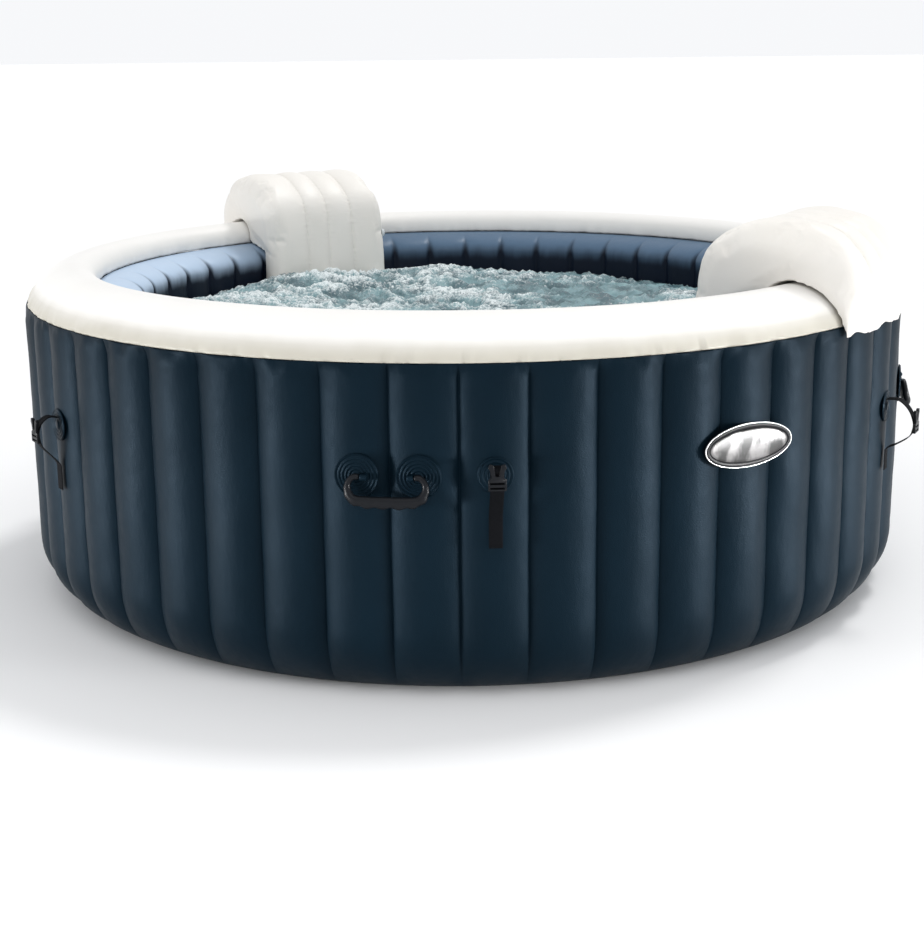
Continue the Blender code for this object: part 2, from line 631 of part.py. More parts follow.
def make_headrest(label, azimuth):
    """A saddle-shaped air cushion over the rim, with its valve and plug in one end."""
    half = HEADREST_WIDTH / 2
    stations = [(-half, -0.012), (-half + 0.014, 0.0), (-half * 0.6, 0.005), (-half * 0.2, 0.006)]
    stations += [(-along, swell) for along, swell in stations[::-1]]
    shape = bmesh.new()
    rings = []
    for along, swell in stations:
        ring = []
        for radius, height in headrest_section(swell):
            depth = math.sqrt(radius ** 2 - along ** 2)
            ring.append(shape.verts.new((along, -depth, height)))
        rings.append(ring)
    count = len(rings[0])
    for first, second in zip(rings, rings[1:]):
        for i in range(count):
            after = (i + 1) % count
            shape.faces.new((first[i], first[after], second[after], second[i]))
    shape.faces.new(rings[0])
    shape.faces.new(rings[-1][::-1])
    bmesh.ops.recalc_face_normals(shape, faces=shape.faces)
    bmesh.ops.triangulate(shape, faces=[face for face in shape.faces if len(face.verts) > 4])
    cushion = bmesh_object("headrest_%s_cushion" % label, shape, WHITE)
    place(cushion, azimuth, 0.0, 0.0)
    make_headrest_valve(label, azimuth)


def make_headrest_valve(label, azimuth):
    """A push-in valve on the end of the headrest that faces away, and its plug."""
    side = HEADREST_VALVE_SIDE[label]
    half = HEADREST_WIDTH / 2
    height = INNER_SEAM_HEIGHT + 0.016
    radius = INNER_RADIUS - SOFT_GAP - LOBE_DEPTH - HEADREST_CLEARANCE - HEADREST_LEG / 2
    bore = PLUG_RADIUS + 2 * GAP
    depth = math.sqrt(radius ** 2 - half ** 2)
    seat = [(bore + 0.009, 0.0015), (bore + 0.009, 0.0), (bore, 0.0), (bore, 0.008),
            (bore + 0.0025, 0.008), (bore + 0.0025, 0.0015)]
    plug = [(0, 0.011), (PLUG_RADIUS + 0.0028, 0.011), (PLUG_RADIUS + 0.0028, 0.0083),
            (PLUG_RADIUS, 0.0083), (PLUG_RADIUS, 0.001), (0, 0.001)]
    pieces = (turned("headrest_%s_valve" % label, seat, 16, WHITE),
              turned("headrest_%s_plug" % label, plug, 16, WHITE, closed=False))
    angle = math.radians(azimuth)
    spot = Matrix.Rotation(angle, 4, "Z") @ Vector((side * (half + GAP), -depth, height))
    for piece in pieces:
        piece.location = spot
        piece.rotation_euler = (0.0, side * math.pi / 2, angle)


# ---------------------------------------------------------------- the whole tub
make_outer_wall()
make_inner_wall()
make_rim()
make_floor()
make_webs()
make_bubble_ring()
make_fittings()
for handle_index in range(HANDLE_COUNT):
    make_handle(handle_index)
for strap_index in range(STRAP_COUNT):
    make_strap(strap_index)
make_badge()
for side_name, side_azimuth in HEADREST_AZIMUTHS.items():
    make_headrest(side_name, side_azimuth)
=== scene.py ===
"""Round inflatable hot tub, filled and bubbling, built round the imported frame."""
import math
import random

import bmesh
import bpy
from mathutils import Matrix, Vector, noise


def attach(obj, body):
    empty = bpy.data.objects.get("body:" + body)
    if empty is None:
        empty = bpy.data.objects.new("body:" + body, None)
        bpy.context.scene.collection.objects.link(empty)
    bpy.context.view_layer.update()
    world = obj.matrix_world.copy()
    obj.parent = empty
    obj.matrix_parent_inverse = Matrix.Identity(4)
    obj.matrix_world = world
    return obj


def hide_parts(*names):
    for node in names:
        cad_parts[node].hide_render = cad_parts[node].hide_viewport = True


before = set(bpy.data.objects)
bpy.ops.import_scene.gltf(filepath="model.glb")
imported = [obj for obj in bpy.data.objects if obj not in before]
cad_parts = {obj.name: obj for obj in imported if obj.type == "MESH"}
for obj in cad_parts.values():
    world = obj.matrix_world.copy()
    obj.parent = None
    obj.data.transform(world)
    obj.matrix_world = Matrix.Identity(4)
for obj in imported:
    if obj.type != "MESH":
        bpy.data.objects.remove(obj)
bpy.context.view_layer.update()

scene = bpy.context.scene

# ---------------------------------------------------------------- camera
# It stands in front of the tub, a little above the rim, and looks down across the water.
EYE = Vector((-0.035, -3.9387, 1.2061))
EYE_TURN, EYE_TILT, EYE_ROLL = 0.0072, 0.2492, -0.0109
LENS = 66.93

forward = Vector((math.sin(EYE_TURN) * math.cos(EYE_TILT),
                  math.cos(EYE_TURN) * math.cos(EYE_TILT), -math.sin(EYE_TILT)))
level = Vector((math.cos(EYE_TURN), -math.sin(EYE_TURN), 0.0))
upright = level.cross(forward)
across = level * math.cos(EYE_ROLL) + upright * math.sin(EYE_ROLL)
upright = upright * math.cos(EYE_ROLL) - level * math.sin(EYE_ROLL)

camera_data = bpy.data.cameras.new("camera")
camera_data.lens = LENS
camera_data.sensor_width = 36.0
camera = bpy.data.objects.new("camera", camera_data)
camera.matrix_world = (Matrix.Translation(EYE)
                       @ Matrix((across, upright, -forward)).transposed().to_4x4())
scene.collection.objects.link(camera)
scene.camera = camera

# ---------------------------------------------------------------- floor and studio light
# A plain pale floor, a broad soft light from above and behind, and a tall soft box on each
# side that rakes across the ribs.
FLOOR_REACH = 60.0
FLOOR_COLOUR = (0.93, 0.93, 0.93)
KEY_DIRECTION = (0.34, 0.36, 0.87)
KEY_STRENGTH, KEY_SPREAD = 1.0, 0.20
FILL_WATTS = 14.0
SKY_STRENGTH, HORIZON_STRENGTH = 0.86, 0.96
BOX_WIDTH, BOX_HEIGHT, BOX_SPREAD = 2.4, 0.45, 0.36
SOFT_BOXES = [  # name, place, aim, watts
    ("left_box", (-3.7, -1.7, 0.28), (-0.2, -0.6, 0.27), 6.5),
    ("right_box", (3.7, -1.6, 0.30), (0.2, -0.6, 0.27), 8.5),
]


def add_lamp(label, kind, place_at, aim, energy):
    """A lamp that shines from one place towards another."""
    lamp_data = bpy.data.lights.new(label, kind)
    lamp_data.energy = energy
    lamp = bpy.data.objects.new(label, lamp_data)
    lamp.location = place_at
    lamp.rotation_euler = (Vector(aim) - Vector(place_at)).to_track_quat("-Z", "Y").to_euler()
    scene.collection.objects.link(lamp)
    return lamp_data


add_lamp("key", "SUN", KEY_DIRECTION, (0.0, 0.0, 0.0), KEY_STRENGTH).angle = KEY_SPREAD
for label, place_at, aim, watts in SOFT_BOXES:
    box = add_lamp(label, "AREA", place_at, aim, watts)
    box.shape = "RECTANGLE"
    box.size, box.size_y, box.spread = BOX_WIDTH, BOX_HEIGHT, BOX_SPREAD

fill = add_lamp("fill", "AREA", (0.2, -2.6, 3.4), (0.0, 0.7, 0.6), FILL_WATTS)
fill.size = 2.2

world = bpy.data.worlds.new("studio")
world.use_nodes = True
scene.world = world
scene.view_settings.view_transform = "Standard"


class Flow:
    """A number inside a node tree, so that a rule can be written as plain arithmetic."""

    def __init__(self, tree, socket):
        self.tree, self.socket = tree, socket

    def step(self, operation, *others):
        node = self.tree.nodes.new("ShaderNodeMath")
        node.operation = operation
        for slot, value in zip(node.inputs, (self,) + others):
            feed(self.tree, slot, value)
        return Flow(self.tree, node.outputs[0])

    def __add__(self, other):
        return self.step("ADD", other)

    def __sub__(self, other):
        return self.step("SUBTRACT", other)

    def __mul__(self, other):
        return self.step("MULTIPLY", other)

    def __truediv__(self, other):
        return self.step("DIVIDE", other)

    def __pow__(self, other):
        return self.step("POWER", other)

    def rise(self, low, high):
        """0 below low, 1 above high, and smooth between them."""
        node = self.tree.nodes.new("ShaderNodeMapRange")
        node.interpolation_type = "SMOOTHSTEP"
        for slot, value in zip(node.inputs, (self, low, high, 0.0, 1.0)):
            feed(self.tree, slot, value)
        return Flow(self.tree, node.outputs[0])


def feed(tree, slot, value):
    """Give a socket a plain value, or link it to another node."""
    if isinstance(value, Flow):
        value = value.socket
    if isinstance(value, bpy.types.NodeSocket):
        tree.links.new(value, slot)
    else:
        slot.default_value = value


def add_node(tree, kind, inputs=None, **settings):
    """Add one node with its options, and feed the inputs that are named."""
    node = tree.nodes.new(kind)
    for key, value in settings.items():
        setattr(node, key, value)
    for key, value in (inputs or {}).items():
        feed(tree, node.inputs[key], value)
    return node


def coordinates(tree):
    """Where a point lies on the object, in metres."""
    return add_node(tree, "ShaderNodeTexCoord").outputs["Object"]


def split(tree, vector):
    """The three numbers of a vector."""
    parts = add_node(tree, "ShaderNodeSeparateXYZ", {"Vector": vector}).outputs
    return [Flow(tree, part) for part in parts]


def cloudy(tree, scale, detail=3.0, stretch=None):
    """Soft noise from 0 to 1, at so many patches to the metre."""
    vector = coordinates(tree)
    if stretch:
        vector = add_node(tree, "ShaderNodeMapping",
                          {"Vector": vector, "Scale": stretch}).outputs[0]
    texture = add_node(tree, "ShaderNodeTexNoise",
                       {"Vector": vector, "Scale": scale, "Detail": detail})
    return Flow(tree, texture.outputs[0])


def blended(tree, share, first, second):
    """A colour between two others."""
    mix = add_node(tree, "ShaderNodeMix", data_type="RGBA")
    for slot, value in zip((mix.inputs[0], mix.inputs[6], mix.inputs[7]), (share, first, second)):
        feed(tree, slot, (*value, 1.0) if isinstance(value, tuple) else value)
    return mix.outputs[2]


sky = world.node_tree
sky_height = split(sky, add_node(sky, "ShaderNodeTexCoord").outputs["Generated"])[2]
feed(sky, sky.nodes["Background"].inputs["Color"], (0.97, 0.98, 1.0, 1.0))
feed(sky, sky.nodes["Background"].inputs["Strength"],
     sky_height.rise(0.04, 0.30) * (SKY_STRENGTH - HORIZON_STRENGTH) + HORIZON_STRENGTH)


def new_material(name, colour, roughness, bumps=(), **settings):
    """A Principled material: colour and roughness are values or made by a function of the tree.

    Each bump is a height and the depth in metres that it stands for.
    """
    material = bpy.data.materials.new(name)
    material.use_nodes = True
    tree = material.node_tree
    shader = tree.nodes["Principled BSDF"]
    feed(tree, shader.inputs["Base Color"], colour(tree))
    feed(tree, shader.inputs["Roughness"], roughness(tree))
    normal = None
    for height, depth in bumps:
        bump = add_node(tree, "ShaderNodeBump",
                        {"Height": height(tree), "Distance": depth, "Strength": 1.0})
        if normal:
            tree.links.new(normal, bump.inputs["Normal"])
        normal = bump.outputs[0]
    if normal:
        tree.links.new(normal, shader.inputs["Normal"])
    for key, value in settings.items():
        shader.inputs[key.replace("_", " ")].default_value = value
    return material


def spread(pattern, low, high):
    """Turn a 0 to 1 pattern into a range."""
    return pattern * (high - low) + low


def mottled(scale, first, second, detail=3.0):
    """A colour that drifts between two others."""
    return lambda tree: blended(tree, cloudy(tree, scale, detail), first, second)


def uneven(scale, low, high, detail=3.0):
    """A roughness that drifts between two values."""
    return lambda tree: spread(cloudy(tree, scale, detail), low, high)


floor_mesh = bpy.data.meshes.new("studio_floor")
floor_mesh.from_pydata([(x * FLOOR_REACH, y * FLOOR_REACH, 0.0)
                        for x, y in ((-1, -1), (1, -1), (1, 1), (-1, 1))], [], [(0, 1, 2, 3)])
studio_floor = bpy.data.objects.new("studio_floor", floor_mesh)
scene.collection.objects.link(studio_floor)
floor_mesh.materials.append(new_material(
    "studio_paper",
    mottled(1.5, FLOOR_COLOUR, tuple(c * 0.985 for c in FLOOR_COLOUR)),
    uneven(3.0, 0.75, 0.85), Specular_IOR_Level=0.1))

# ---------------------------------------------------------------- outer wall
# Navy laminated vinyl, drawn in by forty-eight upright welds to the webs behind it, so that
# the air between two webs stands out as a rib. It puckers under the seam to the rim, and
# below the ribs it turns under in a smooth roll.
RIB_COUNT = 48
FIRST_WELD = -1.1             # azimuth in degrees, 0 at the front
OUTER_RADIUS = 0.976
RIB_DEPTH = 0.020
SKIN = 0.001
SOFT_GAP = 0.0012             # between two skins at their weld
SEAM_HEIGHT = 0.634
SEAM_RADIUS = 0.968
RIB_FADE = 0.034              # the ribs fill out over this much height under the seam
ROLL_HEIGHT = 0.137
ROLL_WIDTH = 0.108
RIB_COLUMNS = 20              # columns of faces across one rib, close together at its welds
AS_SKIN = ("SOLIDIFY", {"thickness": SKIN, "offset": -1.0})
NAVY_DEEP = (0.0009, 0.0045, 0.0080)
NAVY_LIGHT = (0.0020, 0.0080, 0.0140)


def grid_mesh(name, rows, wrap_columns=True, wrap_rows=False, cap=False):
    """A mesh through rows of points; the rows, the columns or both may close on themselves."""
    shape = bmesh.new()
    grid = [[shape.verts.new(point) for point in row] for row in rows]
    width = len(grid[0])
    for i in range(len(grid) - (0 if wrap_rows else 1)):
        upper, lower = grid[i], grid[(i + 1) % len(grid)]
        for column in range(width - (0 if wrap_columns else 1)):
            after = (column + 1) % width
            shape.faces.new((upper[column], lower[column], lower[after], upper[after]))
    if cap:
        shape.faces.new(grid[0])
        shape.faces.new(grid[-1][::-1])
    bmesh.ops.remove_doubles(shape, verts=shape.verts, dist=1e-6)
    if cap or wrap_rows:
        bmesh.ops.recalc_face_normals(shape, faces=shape.faces)
    mesh = bpy.data.meshes.new(name)
    shape.to_mesh(mesh)
    shape.free()
    mesh.shade_smooth()
    return mesh


def faced_outwards(mesh):
    """Turn every face of a closed mesh outwards."""
    shape = bmesh.new()
    shape.from_mesh(mesh)
    bmesh.ops.recalc_face_normals(shape, faces=shape.faces)
    shape.to_mesh(mesh)
    shape.free()
    mesh.shade_smooth()
    return mesh


def add_piece(name, mesh, material, body, replaces=()):
    """Put a finished mesh in the scene and say what it is made of and what it moves with."""
    piece = bpy.data.objects.new(name, mesh)
    scene.collection.objects.link(piece)
    mesh.materials.clear()
    mesh.materials.append(material)
    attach(piece, body)
    if replaces:
        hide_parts(*replaces)
    return piece


def made_plain(source):
    """Take an object's finished mesh and remove the object."""
    bpy.context.view_layer.update()
    result = bpy.data.meshes.new_from_object(
        source.evaluated_get(bpy.context.evaluated_depsgraph_get()))
    bpy.data.objects.remove(source, do_unlink=True)
    return result


def worked(mesh, *modifiers):
    """Run modifiers, given as (type, settings), over a mesh and return the plain result."""
    source = bpy.data.objects.new("work", mesh)
    scene.collection.objects.link(source)
    for kind, settings in modifiers:
        modifier = source.modifiers.new(kind, kind)
        for key, value in settings.items():
            setattr(modifier, key, value)
    return made_plain(source)


def new_tree(name, **inputs):
    """Start a Geometry Nodes tree with a geometry output and the named inputs."""
    tree = bpy.data.node_groups.new(name, "GeometryNodeTree")
    tree.interface.new_socket("Geometry", in_out="OUTPUT", socket_type="NodeSocketGeometry")
    for label, kind in inputs.items():
        tree.interface.new_socket(label.replace("_", " "), in_out="INPUT",
                                  socket_type="NodeSocket" + kind)
    source = tree.nodes.new("NodeGroupInput").outputs
    given = {socket.name: socket for socket in source if socket.name}
    return tree, given, tree.nodes.new("NodeGroupOutput")


def end_tree(tree, output, geometry, material):
    """Close a tree: realize what is instanced, set the material, and hand it out."""
    real = add_node(tree, "GeometryNodeRealizeInstances", {"Geometry": geometry})
    painted = add_node(tree, "GeometryNodeSetMaterial",
                       {"Geometry": real.outputs[0], "Material": material})
    tree.links.new(painted.outputs[0], output.inputs[0])


def grown(tree, mesh, **values):
    """Run a Geometry Nodes tree over a mesh and return the plain result."""
    source = bpy.data.objects.new("work", mesh)
    scene.collection.objects.link(source)
    modifier = source.modifiers.new("grow", "NODES")
    modifier.node_group = tree
    for item in tree.interface.items_tree:
        if item.in_out == "INPUT" and item.name.replace(" ", "_") in values:
            modifier[item.identifier] = values[item.name.replace(" ", "_")]
    result = made_plain(source)
    result.shade_smooth()
    return result


def make_rib_tree():
    """Swell a plain turned wall into ribs between its welds, and pucker it along a seam."""
    tree, given, output = new_tree(
        "ribs_between_welds", Geometry="Geometry", Ribs="Float", First_weld="Float", Depth="Float",
        Roundness="Float", Seam_height="Float", Pucker_depth="Float", Pucker_reach="Float",
        Slackness="Float", Material="Material")
    take = {name: Flow(tree, socket) for name, socket in given.items()}
    spot = add_node(tree, "GeometryNodeInputPosition").outputs[0]
    x, y, z = split(tree, spot)
    turn = x.step("ARCTAN2", y * -1.0)
    place_in_row = (turn - take["First weld"]) * take["Ribs"] / math.tau
    index = place_in_row.step("FLOOR")
    share = place_in_row.step("FRACT")
    swell = ((share * 2.0 - 1.0) ** 2.0 * -1.0 + 1.0).step("MAXIMUM", 0.0) ** take["Roundness"]
    full = Flow(tree, add_node(tree, "GeometryNodeInputNamedAttribute",
                               {"Name": "fullness"}, data_type="FLOAT").outputs[0])

    def rough(u, v, w, detail=2.0):
        joined = add_node(tree, "ShaderNodeCombineXYZ", {"X": u, "Y": v, "Z": w}).outputs[0]
        field = add_node(tree, "ShaderNodeTexNoise",
                         {"Vector": joined, "Scale": 1.0, "Detail": detail})
        return Flow(tree, field.outputs[0]) - 0.5

    own = rough(index * 7.31, z * 5.0, 0.0) * 0.5 + 1.0
    out = take["Depth"] * full * swell * own
    under_seam = (take["Seam height"] - z).step("ABSOLUTE") / take["Pucker reach"]
    near_seam = (under_seam ** 1.5 * -1.0).step("EXPONENT")
    ridges = rough(turn * 105.0, z * 11.0, 3.0).step("ABSOLUTE") * -1.0 + 0.12
    ridges = ridges + rough(turn * 40.0, z * 24.0, 6.0) * 0.5
    out = out + ridges * near_seam * take["Pucker depth"]
    weld_pull = (swell * -2.2).step("EXPONENT")
    out = out + rough(turn * 9.0, z * 75.0, 9.0) * weld_pull * full * take["Slackness"]
    out = out + rough(x * 11.0, y * 11.0, z * 14.0, 3.0) * take["Slackness"]
    along = rough(turn * 5.0, z * 9.0, 5.0) * take["Slackness"] * full
    sideways = add_node(tree, "ShaderNodeCombineXYZ", {
        "X": turn.step("SINE") * out + turn.step("COSINE") * along,
        "Y": turn.step("COSINE") * out * -1.0 + turn.step("SINE") * along}).outputs[0]
    moved = add_node(tree, "GeometryNodeSetPosition",
                     {"Geometry": given["Geometry"], "Offset": sideways})
    end_tree(tree, output, moved.outputs[0], given["Material"])
    return tree


def plain_wall(name, rows, columns):
    """A turned wall through rows of (height, weld radius, fullness), ready to be ribbed."""
    across_rib = [(1 - math.cos(math.pi * i / columns)) / 2 for i in range(columns)]
    turns = [math.radians(FIRST_WELD) + math.tau / RIB_COUNT * (rib + share)
             for rib in range(RIB_COUNT) for share in across_rib]
    mesh = grid_mesh(name, [[(r * math.sin(a), -r * math.cos(a), z) for a in turns]
                            for z, r, _ in rows])
    fullness = mesh.attributes.new("fullness", "FLOAT", "POINT")
    steps = sorted((z, full) for z, _, full in rows)
    for vertex, item in zip(mesh.vertices, fullness.data):
        nearest = min(steps, key=lambda step: abs(step[0] - vertex.co.z))
        item.value = nearest[1]
    return mesh


def vinyl_grain(size, depth):
    """The fine leather-like grain pressed into the vinyl."""
    def height(tree):
        cells = add_node(tree, "ShaderNodeTexVoronoi",
                         {"Vector": coordinates(tree), "Scale": 1.0 / size}, feature="SMOOTH_F1")
        return Flow(tree, cells.outputs[0])
    return height, depth


def soft_waves(scale, depth, stretch=(1.0, 1.0, 0.4)):
    """Slow unevenness of a skin that only the air inside holds out."""
    return (lambda tree: cloudy(tree, scale, 2.0, stretch=stretch)), depth


navy_vinyl = new_material(
    "navy_vinyl", mottled(9.0, NAVY_DEEP, NAVY_LIGHT, 5.0), uneven(45.0, 0.40, 0.56, 4.0),
    [vinyl_grain(0.0016, 0.00022), soft_waves(38.0, 0.0010)],
    Specular_IOR_Level=0.14, Specular_Tint=(0.45, 0.72, 1.0, 1.0))

wall_rows = [(SEAM_HEIGHT - SOFT_GAP, SEAM_RADIUS - RIB_DEPTH / 10, 0.10)]
for i in range(1, 13):
    share = i / 12
    fall = RIB_FADE * share
    full = math.sin(math.pi / 2 * share) ** 0.8
    crest = SEAM_RADIUS + (OUTER_RADIUS - SEAM_RADIUS) * math.sin(math.pi / 2 * share)
    wall_rows.append((SEAM_HEIGHT - fall, crest - RIB_DEPTH * full, full))
for i in range(1, 17):
    height = (SEAM_HEIGHT - RIB_FADE) + (ROLL_HEIGHT - SEAM_HEIGHT + RIB_FADE) * i / 16
    wall_rows.append((height, OUTER_RADIUS - RIB_DEPTH, 1.0))
for i in range(1, 15):
    turn = math.pi / 2 * i / 14
    full = max(0.0, 1.0 - (i / 10) ** 1.6)
    crest = OUTER_RADIUS - ROLL_WIDTH + ROLL_WIDTH * math.cos(turn)
    wall_rows.append((ROLL_HEIGHT * (1 - math.sin(turn)), crest - RIB_DEPTH * full, full))

rib_tree = make_rib_tree()
wall_mesh = grown(rib_tree, plain_wall("outer_wall", wall_rows, RIB_COLUMNS),
                  Ribs=float(RIB_COUNT), First_weld=math.radians(FIRST_WELD), Depth=RIB_DEPTH,
                  Roundness=0.8, Seam_height=SEAM_HEIGHT, Pucker_depth=0.016,
                  Pucker_reach=0.026, Slackness=0.0026, Material=navy_vinyl)
wall_mesh = worked(wall_mesh, AS_SKIN)
add_piece("wall_skin_ribbed", wall_mesh, navy_vinyl, "tub", ["outer_wall"])

# ---------------------------------------------------------------- rim
# The soft white ring that closes the air chamber at the top. It is one broad roll of white
# vinyl between the two seams, with a faint fold line above the outer seam.
RIM_INNER_RADIUS = 0.820
INNER_SEAM_HEIGHT = 0.659
RIM_BULGE = 0.062
RIM_LEAN = 0.015              # its crest leans this far towards the water
RIM_ROWS = 44
RIM_COLUMNS = 864
RIM_FOLD = 0.44               # turn of the fold line above the outer seam, in radians
WHITE_WARM = (0.820, 0.800, 0.765)
WHITE_CLEAN = (0.875, 0.862, 0.835)
# painted shade: the colour of the downward-facing lip by the outer seam
LIP_PAINTED_SHADE = (0.520, 0.495, 0.425)


def rim_point(turn):
    """A point of the rim's outline: turn 0 is the outer seam and pi the inner one."""
    half = (SEAM_RADIUS - RIM_INNER_RADIUS) / 2
    radius = SEAM_RADIUS - half + half * math.cos(turn) - RIM_LEAN * math.sin(turn)
    middle = (SEAM_HEIGHT + INNER_SEAM_HEIGHT) / 2
    lean = (SEAM_HEIGHT - INNER_SEAM_HEIGHT) / 2
    return radius, middle + lean * math.cos(turn) + RIM_BULGE * math.sin(turn)


RIM_CREASES = []              # short folds that rise from the outer seam: azimuth, length, depth
chance = random.Random(11)
for k in range(64):
    where = math.tau * (k + chance.uniform(-0.45, 0.45)) / 64
    RIM_CREASES.append((where, chance.uniform(0.08, 0.30), chance.uniform(0.0010, 0.0042)))


def rim_surface(turn, around):
    """A point of the finished rim, with its puckers and its fold line."""
    radius, height = rim_point(turn)
    ahead, behind = rim_point(turn + 0.01), rim_point(turn - 0.01)
    slope = Vector((behind[0] - ahead[0], behind[1] - ahead[1])).normalized()
    normal = Vector((-slope.y, slope.x))
    outer = math.exp(-((turn / 0.30) ** 1.4))
    inner = math.exp(-(((math.pi - turn) / 0.34) ** 1.4))
    swirl = Vector((math.sin(around), math.cos(around), 0.0))
    fine = noise.noise(Vector((around * 62.0, turn * 1.6, 3.7)))
    wide = noise.noise(Vector((around * 26.0, turn * 1.2, 8.1)))
    rib = math.cos((around - math.radians(FIRST_WELD)) * RIB_COUNT)
    push = (fine * 0.0030 + wide * 0.0020 - rib * 0.0011) * (outer + inner * 0.6)
    push += noise.noise(swirl * 4.0 + Vector((0, 0, turn * 1.3))) * 0.0014 * math.sin(turn)
    if turn < 0.5:
        for where, length, depth in RIM_CREASES:
            off = math.remainder(around - where, math.tau) * 0.97
            if abs(off) < 0.03:
                ridge = math.exp(-((off - 0.005) / 0.005) ** 2) - math.exp(-(off / 0.0045) ** 2)
                push += depth * ridge * math.exp(-(turn / length) ** 2)
    fold = (turn - RIM_FOLD - 0.05 * noise.noise(swirl * 2.5)) / 0.055
    push -= 0.0016 * math.exp(-fold * fold)
    return radius + normal.x * push, height + normal.y * push


rim_rows = []
for i in range(RIM_ROWS + 1):
    turn = math.pi * (1 - i / RIM_ROWS)
    row = []
    for j in range(RIM_COLUMNS):
        around = math.tau * j / RIM_COLUMNS
        radius, height = rim_surface(turn, around)
        row.append((radius * math.sin(around), -radius * math.cos(around), height))
    rim_rows.append(row)


def rim_colour(tree):
    """Clean white on top; painted shade makes the lip low by the outer seam, which faces down,
    darker and yellower.
    """
    x, y, height = split(tree, coordinates(tree))
    inwards = ((x * x + y * y) ** 0.5 * -1.0 + 0.955).step("MAXIMUM", 0.0)
    share = (height + inwards + cloudy(tree, 11.0, 2.0) * 0.016).rise(0.645, 0.700)
    return blended(tree, share, LIP_PAINTED_SHADE, mottled(7.0, WHITE_WARM, WHITE_CLEAN, 4.0)(tree))


white_vinyl = new_material(
    "white_vinyl", rim_colour, uneven(30.0, 0.34, 0.48),
    [vinyl_grain(0.0015, 0.00010), soft_waves(14.0, 0.0010, (1.0, 1.0, 1.0))],
    Specular_IOR_Level=0.4)
rim_mesh = worked(grid_mesh("rim", rim_rows), AS_SKIN)
add_piece("rim_roll", rim_mesh, white_vinyl, "tub", ["top_rim"])

# ---------------------------------------------------------------- inner wall, floor and webs
# The inner skin slopes in from the rim over a shoulder and is navy below. The shoulder is painted
# pale blue as light where it tilts up, and darker towards the back as painted shade. The same welds
# draw it into shallow lobes, and fabric webs tie it to the outer wall inside the air.
INNER_RADIUS = 0.738
SHOULDER_DROP = 0.046
INNER_WELD_RADIUS = INNER_RADIUS - SOFT_GAP
INNER_FOOT_RISE = 0.0027
LOBE_DEPTH = 0.011
LOBE_COLUMNS = 8
# painted light and shade: the pale shoulder where it tilts up, turning to the second colour towards
# the back
POOL_PALE_PAINTED_LIGHT = (0.470, 0.590, 0.740)
POOL_PAINTED_SHADE = (0.085, 0.145, 0.225)
POOL_DEEP = (0.0016, 0.0046, 0.0125)


def pool_colour(tree):
    """Navy below, paler towards the rim and most of all on the left, with a ragged edge. The pale
    band is painted light where the shoulder tilts up, it fades to painted shade towards the back,
    and the navy reaches up the welds as painted shade in the grooves.
    """
    x, y, height = split(tree, coordinates(tree))
    turn = x.step("ARCTAN2", y * -1.0)
    place_in_lobe = ((turn - math.radians(FIRST_WELD)) * RIB_COUNT / math.tau).step("FRACT")
    weld_painted_shade = (place_in_lobe - 0.5).step("ABSOLUTE").rise(0.36, 0.50) * 0.020
    ragged = cloudy(tree, 30.0, 3.0, stretch=(1.0, 1.0, 0.3)) * 0.020
    share = (height + ragged - weld_painted_shade).rise(0.602, 0.646)
    deep = mottled(12.0, POOL_DEEP, tuple(c * 1.7 for c in POOL_DEEP))(tree)
    pale = blended(tree, (x + y * 0.35).rise(-0.62, -0.05), POOL_PALE_PAINTED_LIGHT, POOL_PAINTED_SHADE)
    return blended(tree, share, deep, pale)


pool_vinyl = new_material(
    "pool_blue_vinyl", pool_colour, uneven(40.0, 0.30, 0.45),
    [vinyl_grain(0.0016, 0.00018), soft_waves(30.0, 0.0012)], Specular_IOR_Level=0.20)

inner_rows = [(INNER_FOOT_RISE, INNER_WELD_RADIUS, 0.0)]
for i in range(1, 33):
    rise = (INNER_SEAM_HEIGHT - SHOULDER_DROP - INNER_FOOT_RISE) * i / 32
    full = math.sin(math.pi / 2 * min(1.0, rise / 0.05)) ** 0.9
    inner_rows.append((INNER_FOOT_RISE + rise, INNER_WELD_RADIUS, full))
for i in range(1, 17):
    turn = math.pi / 2 * i / 16
    height = INNER_SEAM_HEIGHT - SHOULDER_DROP + (SHOULDER_DROP - SOFT_GAP) * math.sin(turn)
    reach = INNER_WELD_RADIUS + (RIM_INNER_RADIUS - INNER_RADIUS) * (1 - math.cos(turn))
    inner_rows.append((height, reach, math.cos(turn) ** 0.8))
inner_rows = inner_rows[::-1]
inner_mesh = grown(rib_tree, plain_wall("inner_wall", inner_rows, LOBE_COLUMNS),
                   Ribs=float(RIB_COUNT), First_weld=math.radians(FIRST_WELD),
                   Depth=-LOBE_DEPTH, Roundness=0.5, Seam_height=INNER_SEAM_HEIGHT,
                   Pucker_depth=0.009, Pucker_reach=0.022, Slackness=0.0018,
                   Material=pool_vinyl)
inner_mesh.flip_normals()
inner_mesh = worked(inner_mesh, AS_SKIN)
add_piece("inner_skin_lobed", inner_mesh, pool_vinyl, "tub", ["inner_wall"])

web_fabric = new_material(
    "web_fabric", mottled(60.0, (0.55, 0.57, 0.60), (0.72, 0.74, 0.76)),
    uneven(200.0, 0.75, 0.90), [vinyl_grain(0.0009, 0.0003)])
for node, material in (("floor_sheet", pool_vinyl), ("bubble_ring", pool_vinyl),
                       ("base_ring", navy_vinyl), ("wall_webs", web_fabric)):
    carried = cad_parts[node]
    carried.data.materials.clear()
    carried.data.materials.append(material)
